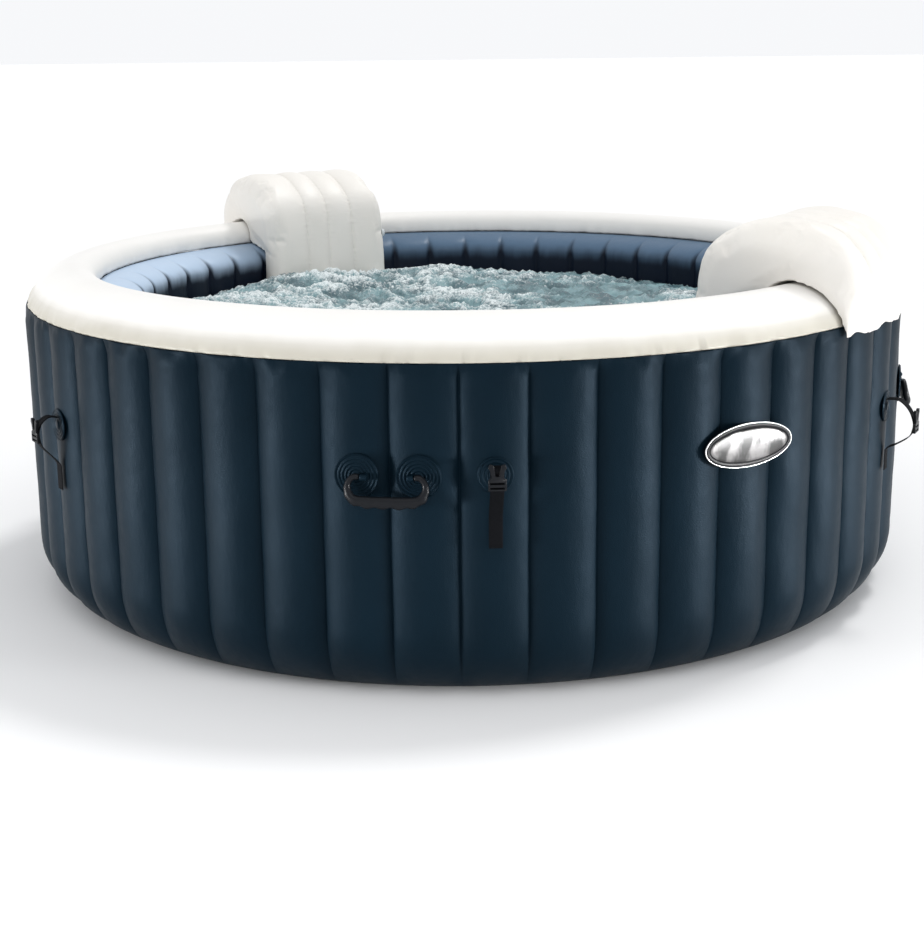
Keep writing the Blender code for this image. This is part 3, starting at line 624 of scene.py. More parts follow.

# ---------------------------------------------------------------- water
# The bubbling water. Air from the ring on the floor throws it up in mounds, broken over with white
# foam that is partly painted highlight, and the surface is highest on the far left.
WATER_LEVEL = 0.548
WATER_UNDERSIDE = 0.47
WATER_RADIUS = 0.7225
WATER_ROWS, WATER_COLUMNS = 104, 460
MOUNDS = [  # x, y, height, spread
    (-0.36, 0.46, 0.040, 0.17), (-0.05, 0.56, 0.032, 0.16), (-0.52, 0.10, 0.024, 0.20),
    (0.28, 0.52, 0.010, 0.14), (0.50, 0.18, 0.012, 0.15), (0.10, 0.05, 0.014, 0.22),
    (-0.20, -0.35, 0.016, 0.22), (0.36, -0.30, 0.012, 0.20),
]
WATER_DARK = (0.060, 0.125, 0.145)
WATER_TEAL = (0.200, 0.345, 0.370)
# white of the foam, also used as painted highlight on the small beads
FOAM_AND_HIGHLIGHT_WHITE = (0.800, 0.865, 0.870)


def choppy(x, y):
    """Height of the water over its level, and how much white lies on it: foam, and on the small
    beads partly painted highlight.
    """
    spot = Vector((x, y, 0.0))
    bend = Vector((noise.noise(spot * 9.0),
                   noise.noise(spot * 9.0 + Vector((5, 3, 1))), 0.0)) * 0.045
    swell = sum(rise * math.exp(-((x - cx) ** 2 + (y - cy) ** 2) / wide ** 2)
                for cx, cy, rise, wide in MOUNDS)
    chop = 1.0 - abs(noise.noise((spot + bend) * 12.0)) * 2.4
    small = 1.0 - abs(noise.noise((spot + bend * 0.6) * 36.0 + Vector((2, 7, 0)))) * 2.4
    beads = 1.0 - abs(noise.noise((spot + bend * 0.3) * 74.0 + Vector((9, 1, 4)))) * 3.0
    height = swell + chop * 0.012 + small * 0.0075 + beads * 0.0042
    height -= max(0.0, (math.hypot(x, y) - 0.66) / 0.06) * 0.010
    foam = (0.26 * chop + 0.26 * small + 0.30 * beads + 4.2 * swell
            + 0.40 * noise.noise(spot * 5.0))
    foam -= 0.34 * math.exp(-((x - 0.34) ** 2 + (y - 0.34) ** 2) / 0.30 ** 2)
    return height, min(1.0, max(0.0, foam))


rows = []
for i in range(WATER_ROWS + 1):
    radius = WATER_RADIUS * (1 - i / WATER_ROWS)
    row = []
    for j in range(WATER_COLUMNS):
        around = math.tau * j / WATER_COLUMNS
        x, y = radius * math.sin(around), -radius * math.cos(around)
        row.append((x, y, WATER_LEVEL + choppy(x, y)[0]))
    rows.append(row)
underside = [[(share * WATER_RADIUS * math.sin(math.tau * j / WATER_COLUMNS),
               -share * WATER_RADIUS * math.cos(math.tau * j / WATER_COLUMNS), WATER_UNDERSIDE)
              for j in range(WATER_COLUMNS)] for share in (0.0, 0.5, 1.0)]
water_mesh = faced_outwards(grid_mesh("water", underside + rows))
foam_and_highlight_layer = water_mesh.attributes.new("foam", "FLOAT", "POINT")
for vertex, item in zip(water_mesh.vertices, foam_and_highlight_layer.data):
    on_top = vertex.co.z > WATER_UNDERSIDE + 0.001
    item.value = choppy(vertex.co.x, vertex.co.y)[1] if on_top else 0.0


def foam_and_highlight_share(tree):
    """Where white covers the water: foam on the thrown-up crests, broken into specks that are
    partly painted highlight.
    """
    layer = Flow(tree, add_node(tree, "ShaderNodeAttribute",
                                attribute_name="foam").outputs["Fac"])
    specks = cloudy(tree, 230.0, 4.0)
    return (layer + specks * 0.9 - 0.45).rise(0.30, 0.86)


def water_colour(tree):
    body = blended(tree, cloudy(tree, 16.0, 4.0).rise(0.35, 0.65), WATER_DARK, WATER_TEAL)
    return blended(tree, foam_and_highlight_share(tree), body, FOAM_AND_HIGHLIGHT_WHITE)


bubbling_water = new_material(
    "bubbling_water", water_colour, lambda tree: spread(foam_and_highlight_share(tree), 0.07, 0.34),
    [(lambda tree: cloudy(tree, 120.0, 5.0), 0.0050),
     (lambda tree: cloudy(tree, 420.0, 2.0), 0.0010)],
    Specular_IOR_Level=0.5)
add_piece("water_bubbling", water_mesh, bubbling_water, "tub")

# ---------------------------------------------------------------- headrests
# Two air cushions that sit astride the rim. Welds across the saddle draw each one into four
# channels, the leg in the water is thick and the one outside is a thin flap.
HEADRESTS = {"left": (211.3, -1), "right": (57.5, 1)}   # azimuth, and which end has the valve
HEADREST_WIDTH = 0.32
CHANNEL_WELDS = (-0.0712, -0.0028, 0.0598)   # across the width, from the middle
CHANNEL_SWELL = 0.011
WELD_DEPTH = 0.010
SADDLE_RADIUS, SADDLE_HEIGHT = 0.853, 0.66   # about the middle of the roll that it sits on
INNER_FACE, OUTER_FACE = 0.7233, 0.9785
WATER_SIDE, DRY_SIDE = 0.6613, 0.9885
INNER_FOOT, OUTER_FOOT = 0.460, 0.615
RIM_TOP = max(rim_point(math.pi * i / 40)[1] for i in range(41))
HEADREST_CROWN = RIM_TOP + 0.117
SLACK = 0.0025                # between the headrest and the tub
CREAM_WARM = (0.800, 0.765, 0.705)
CREAM_CLEAN = (0.860, 0.835, 0.790)


def smooth_through(points, steps):
    """Points on a Catmull-Rom curve through others."""
    points = [Vector(point) for point in points]
    ends = [points[0] * 2 - points[1]] + points + [points[-1] * 2 - points[-2]]
    curve = []
    for i in range(1, len(ends) - 2):
        before, start, end, after = ends[i - 1:i + 3]
        for k in range(steps):
            t = k / steps
            inner = (2 * before - 5 * start + 4 * end - after) + t * (3 * (start - end)
                                                                      + after - before)
            curve.append(start + 0.5 * t * ((end - before) + t * inner))
    return curve + [points[-1]]


def headrest_section():
    """Outline across a headrest: (radius, height, share of the swell, direction of the swell)."""
    width = DRY_SIDE - WATER_SIDE
    outside = smooth_through([
        (DRY_SIDE - 0.001, OUTER_FOOT), (DRY_SIDE - 0.002, RIM_TOP - 0.018),
        (DRY_SIDE - 0.013, RIM_TOP + 0.037), (DRY_SIDE - 0.062, RIM_TOP + 0.092),
        (WATER_SIDE + width * 0.64, HEADREST_CROWN - 0.006),
        (WATER_SIDE + width * 0.42, HEADREST_CROWN),
        (WATER_SIDE + width * 0.22, HEADREST_CROWN - 0.023),
        (WATER_SIDE + 0.018, RIM_TOP + 0.047),
        (WATER_SIDE, RIM_TOP - 0.048), (WATER_SIDE - 0.004, RIM_TOP - 0.148),
        (WATER_SIDE + 0.013, INNER_FOOT)], 7)
    middle = Vector(((SEAM_RADIUS + INNER_RADIUS) / 2, RIM_TOP - 0.038))
    outline = []
    for i, point in enumerate(outside):
        share = min(1.0, i / 9.0, (len(outside) - 1 - i) / 9.0)
        outline.append((point, share, (point - middle).normalized()))
    underside = [Vector((INNER_FACE - 0.014, INNER_FOOT - 0.004)),
                 Vector((INNER_FACE, INNER_FOOT + 0.012))]
    underside += [Vector((INNER_FACE, INNER_FOOT + (0.646 - INNER_FOOT) * i / 9))
                  for i in range(2, 10)]
    rim_heart = Vector(((SEAM_RADIUS + RIM_INNER_RADIUS) / 2,
                        (SEAM_HEIGHT + INNER_SEAM_HEIGHT) / 2))
    first = Vector((RIM_INNER_RADIUS - 0.002, INNER_SEAM_HEIGHT + 0.005))
    underside += [underside[-1].lerp(first, i / 9) for i in range(1, 9)]
    for band in range(1, 27):
        spot = Vector(rim_point(math.pi * (1 - band / 28)))
        spot += (spot - rim_heart).normalized() * (SLACK + 0.0035)
        underside.append(Vector((min(spot.x, OUTER_FACE), spot.y + 0.001)))
    underside.append(Vector((OUTER_FACE, OUTER_FOOT + 0.012)))
    underside.append(Vector((OUTER_FACE + 0.002, OUTER_FOOT)))
    outline += [(point, 0.0, Vector((0.0, 0.0))) for point in underside]
    return outline


def channel_swell(along):
    """How far the skin stands out over the width of the headrest, drawn in at each weld."""
    half = HEADREST_WIDTH / 2
    edges = (-half - 0.010,) + CHANNEL_WELDS + (half + 0.010,)
    for low, high in zip(edges, edges[1:]):
        if low <= along <= high:
            share = (along - low) / (high - low)
            dome = math.sqrt(max(0.0, 1 - (2 * share - 1) ** 2)) ** 0.8
            return CHANNEL_SWELL * dome - WELD_DEPTH * 0.35
    return 0.0


def headrest_shell():
    """The closed skin of a headrest at the front of the tub, before it is blown up."""
    half = HEADREST_WIDTH / 2
    count = 58
    outline = headrest_section()
    rings = []
    for i in range(count + 1):
        share = i / count
        along = -half * math.cos(math.pi * share) * 0.35 + half * (2 * share - 1) * 0.65
        end = max(0.0, (abs(along) - (half - 0.030)) / 0.030)
        rounding = -0.016 * (1 - math.sqrt(max(0.0, 1 - end ** 2)))
        ring = []
        for point, fullness, away in outline:
            push = (channel_swell(along) * min(1.0, (1 - end) * 3) + rounding) * fullness
            radius, height = point.x + away.x * push, point.y + away.y * push
            ring.append((along, -math.sqrt(radius ** 2 - along ** 2), height))
        rings.append(ring)
    return grid_mesh("headrest", rings, cap=True)


SKIN_STEP = 0.005             # between the points of the skin that the air swells
AIR_PRESSURE = 4.0
SWELL_LIMIT = 0.007


def blown_up(mesh, voxel, pressure, limit):
    """Let air swell a cushion: its underside and its welds are held, the rest is free."""
    mesh = worked(mesh, ("REMESH", {"mode": "VOXEL", "voxel_size": voxel}))
    before = [vertex.co.copy() for vertex in mesh.vertices]
    source = bpy.data.objects.new("work", mesh)
    scene.collection.objects.link(source)
    held = source.vertex_groups.new(name="held")
    section = [point for point, fullness, _ in headrest_section() if fullness == 0.0]
    for vertex in mesh.vertices:
        along, radius = vertex.co.x, math.hypot(vertex.co.x, vertex.co.y)
        spot = Vector((radius, vertex.co.z))
        near_rim = min((spot - point).length for point in section) < 0.007
        near_weld = min(abs(along - weld) for weld in CHANNEL_WELDS) < 0.0035
        if near_rim or near_weld:
            held.add([vertex.index], 1.0, "REPLACE")
    cloth = source.modifiers.new("air", "CLOTH")
    cloth.settings.use_pressure = True
    cloth.settings.uniform_pressure_force = pressure
    cloth.settings.vertex_group_mass = "held"
    cloth.settings.effector_weights.gravity = 0.0
    cloth.settings.quality = 6
    cloth.collision_settings.use_collision = False
    for step in range(1, 21):
        scene.frame_set(step)
    swelled = made_plain(source)
    for vertex, start in zip(swelled.vertices, before):
        moved = vertex.co - start
        if moved.length > limit:
            vertex.co = start + moved.normalized() * limit
    scene.frame_set(1)
    return swelled


def welded(mesh):
    """Press the welds in again and pucker the skin beside them."""
    for vertex in mesh.vertices:
        radius = math.hypot(vertex.co.x, vertex.co.y)
        out = radius - SADDLE_RADIUS
        away = Vector((vertex.co.x / radius * out, vertex.co.y / radius * out,
                       vertex.co.z - SADDLE_HEIGHT))
        far_out = away.length > 0.088 or vertex.co.z < 0.60 and radius < 0.70
        if not far_out:
            continue
        near = min(abs(vertex.co.x - weld) for weld in CHANNEL_WELDS)
        path = math.atan2(vertex.co.z - 0.60, out)
        crease = math.exp(-(near / 0.0022) ** 2) * 0.0022
        pucker = math.exp(-near / 0.012) * noise.noise(
            Vector((path * 34.0, near * 40.0, vertex.co.x * 3.0)))
        vertex.co -= away.normalized() * (crease - pucker * 0.0011)
    return mesh


headrest_vinyl = new_material(
    "headrest_vinyl", mottled(10.0, CREAM_WARM, CREAM_CLEAN, 4.0), uneven(35.0, 0.38, 0.52),
    [vinyl_grain(0.0014, 0.00012), soft_waves(22.0, 0.0012, (1.0, 1.0, 1.0))],
    Specular_IOR_Level=0.4)

cushion_mesh = headrest_shell()
cushion_mesh = blown_up(cushion_mesh, SKIN_STEP, AIR_PRESSURE, SWELL_LIMIT)
cushion_mesh = welded(worked(cushion_mesh, ("SUBSURF", {"levels": 1, "render_levels": 1})))
cushion_mesh.shade_smooth()
for label, (azimuth, valve_side) in HEADRESTS.items():
    own_mesh = cushion_mesh.copy()
    if label == "right":
        for vertex in own_mesh.vertices:
            radius = math.hypot(vertex.co.x, vertex.co.y)
            if radius > 0.97 and vertex.co.z < 0.70:
                share = min(1.0, (0.70 - vertex.co.z) / 0.07)
                vertex.co.z += share * (0.004 * math.sin(vertex.co.x * 42.0 + 0.6)
                                        + 0.0015 * math.sin(vertex.co.x * 90.0))
    own_mesh.transform(Matrix.Rotation(math.radians(azimuth), 4, "Z"))
    body = "headrest_" + label
    cushion = add_piece("headrest_%s_air_cushion" % label, own_mesh, headrest_vinyl,
                        body, ["headrest_%s_cushion" % label])

# Each has a push-in valve on the end that faces away from the front, and a clear plug in it.
VALVE_BORE, VALVE_LIP, PLUG_LIP = 0.0066, 0.0156, 0.0088
VALVE_HEIGHT = INNER_SEAM_HEIGHT + 0.016
VALVE_RADIUS = INNER_FACE - 0.031
GAP = 0.0003                  # between two hard pieces that touch


def turned_mesh(name, profile, segments=48):
    """Turn a closed or pole-to-pole profile of (radius, height) about Z."""
    turns = [math.tau * i / segments for i in range(segments)]
    rows = [[(radius * math.cos(turn), radius * math.sin(turn), height) for turn in turns]
            for radius, height in profile]
    return faced_outwards(grid_mesh(name, rows, wrap_rows=profile[0][0] > 0))


def crisp(mesh, width=0.0006, angle=35.0):
    """Round off the hard edges of a moulding."""
    mesh = worked(mesh, ("BEVEL", {"width": width, "segments": 2, "limit_method": "ANGLE",
                                   "angle_limit": math.radians(angle)}))
    mesh.shade_smooth()
    mesh.set_sharp_from_angle(angle=math.radians(50))
    return mesh


def set_on_wall(mesh, azimuth, radius, height, facing_out=False):
    """Move a mesh made at the origin to its place on the wall."""
    if facing_out:
        mesh.transform(Matrix.Rotation(math.pi / 2, 4, "X"))
    angle = math.radians(azimuth)
    place_at = Matrix.Translation((radius * math.sin(angle), -radius * math.cos(angle), height))
    mesh.transform(place_at @ Matrix.Rotation(angle, 4, "Z"))
    return mesh


clear_vinyl = new_material(
    "clear_vinyl", mottled(60.0, (0.62, 0.66, 0.68), (0.74, 0.78, 0.80)),
    uneven(90.0, 0.12, 0.24), [vinyl_grain(0.0011, 0.00008)])

for label, (azimuth, side) in HEADRESTS.items():
    half = HEADREST_WIDTH / 2
    seat = [(VALVE_LIP, 0.0015), (VALVE_LIP, 0.0), (VALVE_BORE, 0.0), (VALVE_BORE, 0.008),
            (VALVE_BORE + 0.0025, 0.008), (VALVE_BORE + 0.0025, 0.0015)]
    plug = [(0.0, 0.011), (0.003, 0.0112), (PLUG_LIP, 0.0105), (PLUG_LIP, 0.0083),
            (0.006, 0.0083), (0.0058, 0.001), (0.0, 0.001)]
    turn = Matrix.Rotation(math.radians(azimuth), 4, "Z")
    depth = math.sqrt(VALVE_RADIUS ** 2 - half ** 2)
    spot = Matrix.Translation((side * (half + GAP), -depth, VALVE_HEIGHT))
    lean = Matrix.Rotation(side * math.pi / 2, 4, "Y")
    for part, profile, body in (("valve", seat, "headrest_" + label),
                                ("plug", plug, "headrest_%s_plug" % label)):
        mesh = crisp(turned_mesh(part, profile), 0.0004)
        mesh.transform(turn @ spot @ lean)
        add_piece("headrest_%s_%s_moulded" % (label, part), mesh, clear_vinyl,
                  body, ["headrest_%s_%s" % (label, part)])

# ---------------------------------------------------------------- badge
# An oval badge on the right of the front: a black moulded bezel with a bright edge, standing off
# the ribs, and a plain brushed silver plate let into it, whose colour carries painted reflection in
# dark and light patches.
BADGE_AZIMUTH, BADGE_HEIGHT = 31.9, 0.448
BADGE_WIDTH, BADGE_DEPTH = 0.210, 0.084
FACE_INSET = 0.0125
WALL_STAND = OUTER_RADIUS + SOFT_GAP
black_plastic = new_material(
    "black_plastic", mottled(50.0, (0.0025, 0.0032, 0.0048), (0.0058, 0.0068, 0.0090), 4.0),
    uneven(130.0, 0.28, 0.46, 4.0),
    [vinyl_grain(0.0010, 0.00008), soft_waves(90.0, 0.0003, (1.0, 1.0, 1.0))],
    Specular_IOR_Level=0.18)


def silver(name, dark, light, metallic):
    """Bright metallised plastic, brushed along the badge, with painted reflection: dark and light
    patches in its colour.
    """
    def painted_reflection_patches(tree):
        share = cloudy(tree, 26.0, stretch=(1.0, 1.0, 0.5)).rise(0.42, 0.56)
        return blended(tree, share, dark, light)

    return new_material(
        name, painted_reflection_patches,
        lambda tree: spread(cloudy(tree, 300.0, 2.0, stretch=(0.15, 0.15, 4.0)), 0.22, 0.40),
        [(lambda tree: cloudy(tree, 900.0, 2.0, stretch=(0.08, 0.08, 2.5)), 0.00006)],
        Metallic=metallic)


# painted reflection: the plate's dark and light patches of colour
silver_face = silver("silver_face", (0.045, 0.045, 0.045), (0.200, 0.196, 0.196), 0.5)
bright_edge = silver("bright_edge", (0.72, 0.72, 0.72), (0.82, 0.82, 0.82), 0.85)


def oval(steps, **closing):
    """An oval of the badge, from (inset from its edge, distance out of the wall)."""
    turns = [math.tau * i / 96 for i in range(96)]
    rows = [[((BADGE_WIDTH / 2 - inset) * math.cos(turn), -out,
              (BADGE_DEPTH / 2 - inset) * math.sin(turn)) for turn in turns]
            for inset, out in steps]
    return set_on_wall(grid_mesh("oval", rows, **closing), BADGE_AZIMUTH, WALL_STAND, BADGE_HEIGHT)


bezel = oval([(0.004, 0.0), (0.0005, 0.0), (0.0, 0.0006), (0.0, 0.0036), (0.0014, 0.0044),
              (0.0030, 0.0056), (0.0050, 0.0060), (0.0085, 0.0058), (0.0105, 0.0048),
              (0.0120, 0.0040)], cap=True)
add_piece("badge_bezel", bezel, black_plastic, "tub", ["badge_base"])
edge = oval([(0.0011 + 0.0013 * math.cos(math.tau * k / 8),
              0.0044 + 0.0013 * math.sin(math.tau * k / 8)) for k in range(8)], wrap_rows=True)
add_piece("badge_bright_edge", edge, bright_edge, "tub")
face = oval([(FACE_INSET, 0.0042), (FACE_INSET - 0.001, 0.0046), (FACE_INSET - 0.001, 0.0054),
             (FACE_INSET, 0.0060), (FACE_INSET + 0.004, 0.0064), (FACE_INSET + 0.012, 0.0070),
             (0.034, 0.0074)], cap=True)
add_piece("badge_plate", face, silver_face, "tub", ["badge_face"])

# ---------------------------------------------------------------- carry handles
# Four handles. Two round navy lugs with raised rings are welded to the wall, each with an
# eye, and a black moulded grip with finger bumps underneath swings between the eyes.
HANDLE_COUNT, FIRST_HANDLE = 4, -8.6
HANDLE_HEIGHT = 0.431         # of the hinge line
LUG_SPREAD, LUG_RADIUS = 0.112, 0.041
HINGE_OUT = 0.012
EYE_INSET, EYE_WIDTH, EYE_RADIUS = 0.0085, 0.012, 0.006
EYE_SHAPE = ((0.0, 0.78), (0.08, 0.95), (0.3, 1.0), (0.5, 0.97), (0.7, 1.0), (0.92, 0.95),
             (1.0, 0.78))     # place across the eye, share of its radius
GRIP_END = LUG_SPREAD / 2 - EYE_INSET + 0.0012
GRIP_HALF, GRIP_DROP = 0.069, 0.041
FINGER_BUMPS = 9


def swept(name, path, section, side, rounded=0):
    """Carry a section of (sideways, outwards) points along a path; the ends are capped."""
    rows = []
    for i, point in enumerate(path):
        along = (path[min(i + 1, len(path) - 1)] - path[max(i - 1, 0)]).normalized()
        outwards = along.cross(side).normalized()
        sideways = outwards.cross(along)
        shrink = 1.0
        near_end = min(i, len(path) - 1 - i)
        if near_end < rounded:
            shrink = math.sqrt(1 - (1 - (near_end + 0.35) / rounded) ** 2)
        rows.append([point + sideways * a * shrink + outwards * b * shrink
                     for a, b in section(i / (len(path) - 1))])
    return grid_mesh(name, rows, cap=True)


def grip_section(share):
    """An oval bar, flat on top and scalloped for the fingers underneath."""
    middle = max(0.0, min(1.0, (0.5 - abs(share - 0.5)) * 4.2 - 0.75))
    bump = 0.5 + 0.5 * math.cos(math.tau * share * FINGER_BUMPS * 1.6)
    points = []
    for k in range(20):
        turn = math.tau * k / 20
        thick = 0.0062 + 0.0020 * middle
        tall = 0.0062 + 0.0050 * middle
        low = max(0.0, math.sin(turn)) ** 0.7
        flattened = 0.82 if math.sin(turn) < 0 else 1.0
        points.append((thick * math.cos(turn), tall * math.sin(turn) * flattened
                       + low * bump * 0.0034 * middle))
    return points


ridge_steps = [(0.0, 0.0046), (0.006, 0.0046)]
for k in range(33):
    radius = 0.0065 + 0.0325 * k / 32
    ridge_steps.append((radius, 0.0026 + 0.0010 * math.cos(math.tau * (radius - 0.0065) / 0.0065)
                        + 0.0012 * max(0.0, 1 - (radius - 0.0065) / 0.012)))
ridge_steps += [(0.0402, 0.0018), (LUG_RADIUS, 0.0008), (LUG_RADIUS, 0.0), (0.0, 0.0)]
for number in range(1, HANDLE_COUNT + 1):
    azimuth = FIRST_HANDLE + (number - 1) * 360 / HANDLE_COUNT
    lean = math.degrees(math.asin(LUG_SPREAD / 2 / OUTER_RADIUS))
    for side, letter in ((-1, "a"), (1, "b")):
        disc = turned_mesh("lug", ridge_steps, 56)
        disc.transform(Matrix.Rotation(math.pi / 2, 4, "X"))
        rows = []
        for share, wide in EYE_SHAPE:
            ring = []
            for k in range(20):
                turn = math.tau * k / 20
                a = math.cos(turn) * EYE_RADIUS * wide
                b = math.sin(turn) * EYE_RADIUS * wide
                back = -0.0020 if b < 0 else -HINGE_OUT - b
                ring.append((-side * (EYE_INSET + EYE_WIDTH * share), back,
                             a * (1.15 if b < 0 else 1.0)))
            rows.append(ring)
        eye = grid_mesh("eye", rows, cap=True)
        shape = bmesh.new()
        shape.from_mesh(disc)
        shape.from_mesh(eye)
        shape.to_mesh(disc)
        shape.free()
        disc.shade_smooth()
        disc.set_sharp_from_angle(angle=math.radians(60))
        add_piece("handle_%d_lug_%s_ringed" % (number, letter),
                  set_on_wall(disc, azimuth + side * lean, WALL_STAND, HANDLE_HEIGHT), navy_vinyl,
                  "tub", ["handle_%d_lug_%s" % (number, letter)])
    half_route = [(-GRIP_END, 0.0, 0.0), (-0.060, 0.0, 0.0),
                  (-GRIP_HALF, -0.002, -GRIP_DROP * 0.25),
                  (-GRIP_HALF, -0.005, -GRIP_DROP * 0.58),
                  (-GRIP_HALF * 0.86, -0.009, -GRIP_DROP * 0.90),
                  (-GRIP_HALF * 0.5, -0.010, -GRIP_DROP), (0.0, -0.010, -GRIP_DROP)]
    route = smooth_through(half_route + [(-x, y, z) for x, y, z in half_route[-2::-1]], 9)
    grip = swept("grip", route, grip_section, Vector((0.0, -1.0, 0.0)), rounded=4)
    hinge_radius = (WALL_STAND + HINGE_OUT) * math.cos(math.radians(lean))
    add_piece("handle_%d_moulded_grip" % number,
              set_on_wall(grip, azimuth, hinge_radius, HANDLE_HEIGHT), black_plastic,
              "handle_%d" % number, ["handle_%d_grip" % number])

# ---------------------------------------------------------------- cover straps
# Six black webbing straps for the cover. Each leaves a round navy patch that is welded to a
# rib, carries the prong half of a side-release buckle in its loop, and hangs as a tail.
STRAP_COUNT, FIRST_STRAP = 6, 2.65
STRAP_HEIGHT = 0.434
PATCH_RADIUS, PATCH_THICKNESS = 0.033, 0.0025
WEBBING_WIDTH, WEBBING_THICKNESS = 0.025, 0.0016
TAIL_LENGTH = 0.15
BUCKLE_STANDOFF = 0.052
LOOSE_STRAPS = {2: (0.014, 0.034), 6: (0.0, 0.014)}   # extra standoff and drop of a slack strap
BUCKLE_THICKNESS = 0.006
WEAVE_PITCH = 0.0016


def weave_height(tree):
    """Diagonal ribs of the woven tape, from the tape's own map in metres."""
    along, sideways, _ = split(tree, add_node(tree, "ShaderNodeUVMap", uv_map="tape").outputs[0])
    ribs = (along * math.tau / WEAVE_PITCH).step("SINE")
    slanted = (along + sideways.step("ABSOLUTE") * 1.4) * math.tau
    return ribs * 0.5 + (slanted / (WEAVE_PITCH * 1.7)).step("SINE") * 0.5


black_webbing = new_material(
    "black_webbing",
    lambda tree: blended(tree, spread(weave_height(tree), 0.35, 0.85),
                         (0.0012, 0.0015, 0.0024), (0.0045, 0.0052, 0.0070)),
    uneven(300.0, 0.70, 0.88), [(weave_height, 0.00025)],
    Specular_IOR_Level=0.08)


def tape_mesh(name, path):
    """Flat webbing along a path, with rounded edges and a map in metres for its weave."""
    half, thick = WEBBING_WIDTH / 2, WEBBING_THICKNESS / 2
    upper = [(-half, 0.0), (-half + 0.0004, thick * 0.8), (-half * 0.6, thick), (0.0, thick),
             (half * 0.6, thick), (half - 0.0004, thick * 0.8)]
    outline = upper + [(-a, -b) for a, b in upper]
    mesh = swept(name, path, lambda share: outline, Vector((1.0, 0.0, 0.0)))
    lengths, total = [], 0.0
    for before, after in zip([path[0]] + path, path):
        total += (after - before).length
        lengths.append(total)
    layer = mesh.uv_layers.new(name="tape")
    for loop in mesh.loops:
        spot = mesh.vertices[loop.vertex_index].co
        flat_spot = Vector((0.0, spot.y, spot.z))
        nearest = min(range(len(path)), key=lambda i: (path[i] - flat_spot).length_squared)
        layer.data[loop.index].uv = (lengths[nearest], spot.x)
    return mesh


def buckle_mesh():
    """The prong half of a side-release buckle, with its ladder for the webbing."""
    half = WEBBING_WIDTH / 2 + 0.0035
    right = [(half, 0.0), (half, 0.020), (half * 0.62, 0.024), (half * 0.80, 0.036),
             (half * 1.02, 0.041), (half * 0.86, 0.048), (half * 0.42, 0.046), (half * 0.22, 0.026)]
    outline = right + [(-x, z) for x, z in right[::-1]]
    slot = WEBBING_WIDTH / 2 + 0.0005
    slots = [[(-slot, low), (slot, low), (slot, low + 0.0035), (-slot, low + 0.0035)]
             for low in (0.003, 0.0115)]
    curve = bpy.data.curves.new("buckle", "CURVE")
    curve.dimensions = "2D"
    curve.fill_mode = "BOTH"
    curve.extrude = BUCKLE_THICKNESS / 2
    for points in [outline] + slots:
        spline = curve.splines.new("POLY")
        spline.points.add(len(points) - 1)
        for point, (x, z) in zip(spline.points, points):
            point.co = (x, z, 0.0, 1.0)
        spline.use_cyclic_u = True
    source = bpy.data.objects.new("buckle", curve)
    scene.collection.objects.link(source)
    mesh = made_plain(source)
    shape = bmesh.new()
    shape.from_mesh(mesh)
    bmesh.ops.remove_doubles(shape, verts=shape.verts, dist=0.00001)
    bmesh.ops.dissolve_limit(shape, angle_limit=0.01, verts=shape.verts, edges=shape.edges)
    bmesh.ops.recalc_face_normals(shape, faces=shape.faces)
    shape.to_mesh(mesh)
    shape.free()
    mesh.transform(Matrix.Rotation(math.pi / 2, 4, "X"))
    return crisp(mesh, 0.0009, 40.0)


patch_steps = [(0.0, 0.0034), (0.009, 0.0034)]
for k in range(25):
    radius = 0.009 + 0.0225 * k / 24
    patch_steps.append((radius, 0.0022 + 0.0007 * math.cos(math.tau * (radius - 0.009) / 0.0075)))
patch_steps += [(0.0324, 0.0014), (PATCH_RADIUS, 0.0006), (PATCH_RADIUS, 0.0), (0.0, 0.0)]
for number in range(1, STRAP_COUNT + 1):
    azimuth = FIRST_STRAP + (number - 1) * 360 / STRAP_COUNT
    label = "strap_%d" % number
    patch = set_on_wall(turned_mesh("patch", patch_steps, 56), azimuth, WALL_STAND, STRAP_HEIGHT,
                        facing_out=True)
    add_piece(label + "_ringed_patch", patch, navy_vinyl, "tub", [label + "_patch"])
    more, drop = LOOSE_STRAPS.get(number, (0.0, 0.0))
    hinge = WALL_STAND + PATCH_THICKNESS + 0.002
    hinge_height = STRAP_HEIGHT + 0.016
    reach = BUCKLE_STANDOFF + more - 0.006 - PATCH_THICKNESS - 0.002
    route = [(0.0, 0.0), (reach * 0.45, 0.006 - drop * 0.2), (reach * 0.82, 0.002 - drop * 0.6),
             (reach, -0.008 - drop), (reach, -0.024 - drop), (reach * 0.86, -0.042 - drop),
             (reach * 0.42, -0.066 - drop * 0.8), (reach * 0.06, -0.090 - drop * 0.4),
             (0.001, -0.110 - drop * 0.1), (0.001, -TAIL_LENGTH)]
    path = smooth_through([(0.0, -out + WEBBING_THICKNESS / 2, fall) for out, fall in route], 7)
    tape = set_on_wall(tape_mesh("tape", path), azimuth, hinge, hinge_height)
    add_piece(label + "_woven_tape", tape, black_webbing, label,
              [label + "_webbing"])
    buckle = buckle_mesh()
    buckle.transform(Matrix.Translation((0, -(reach + GAP + BUCKLE_THICKNESS / 2),
                                         -0.032 - drop)))
    add_piece(label + "_prong_buckle", set_on_wall(buckle, azimuth, hinge, hinge_height),
              black_plastic, label, [label + "_buckle"])

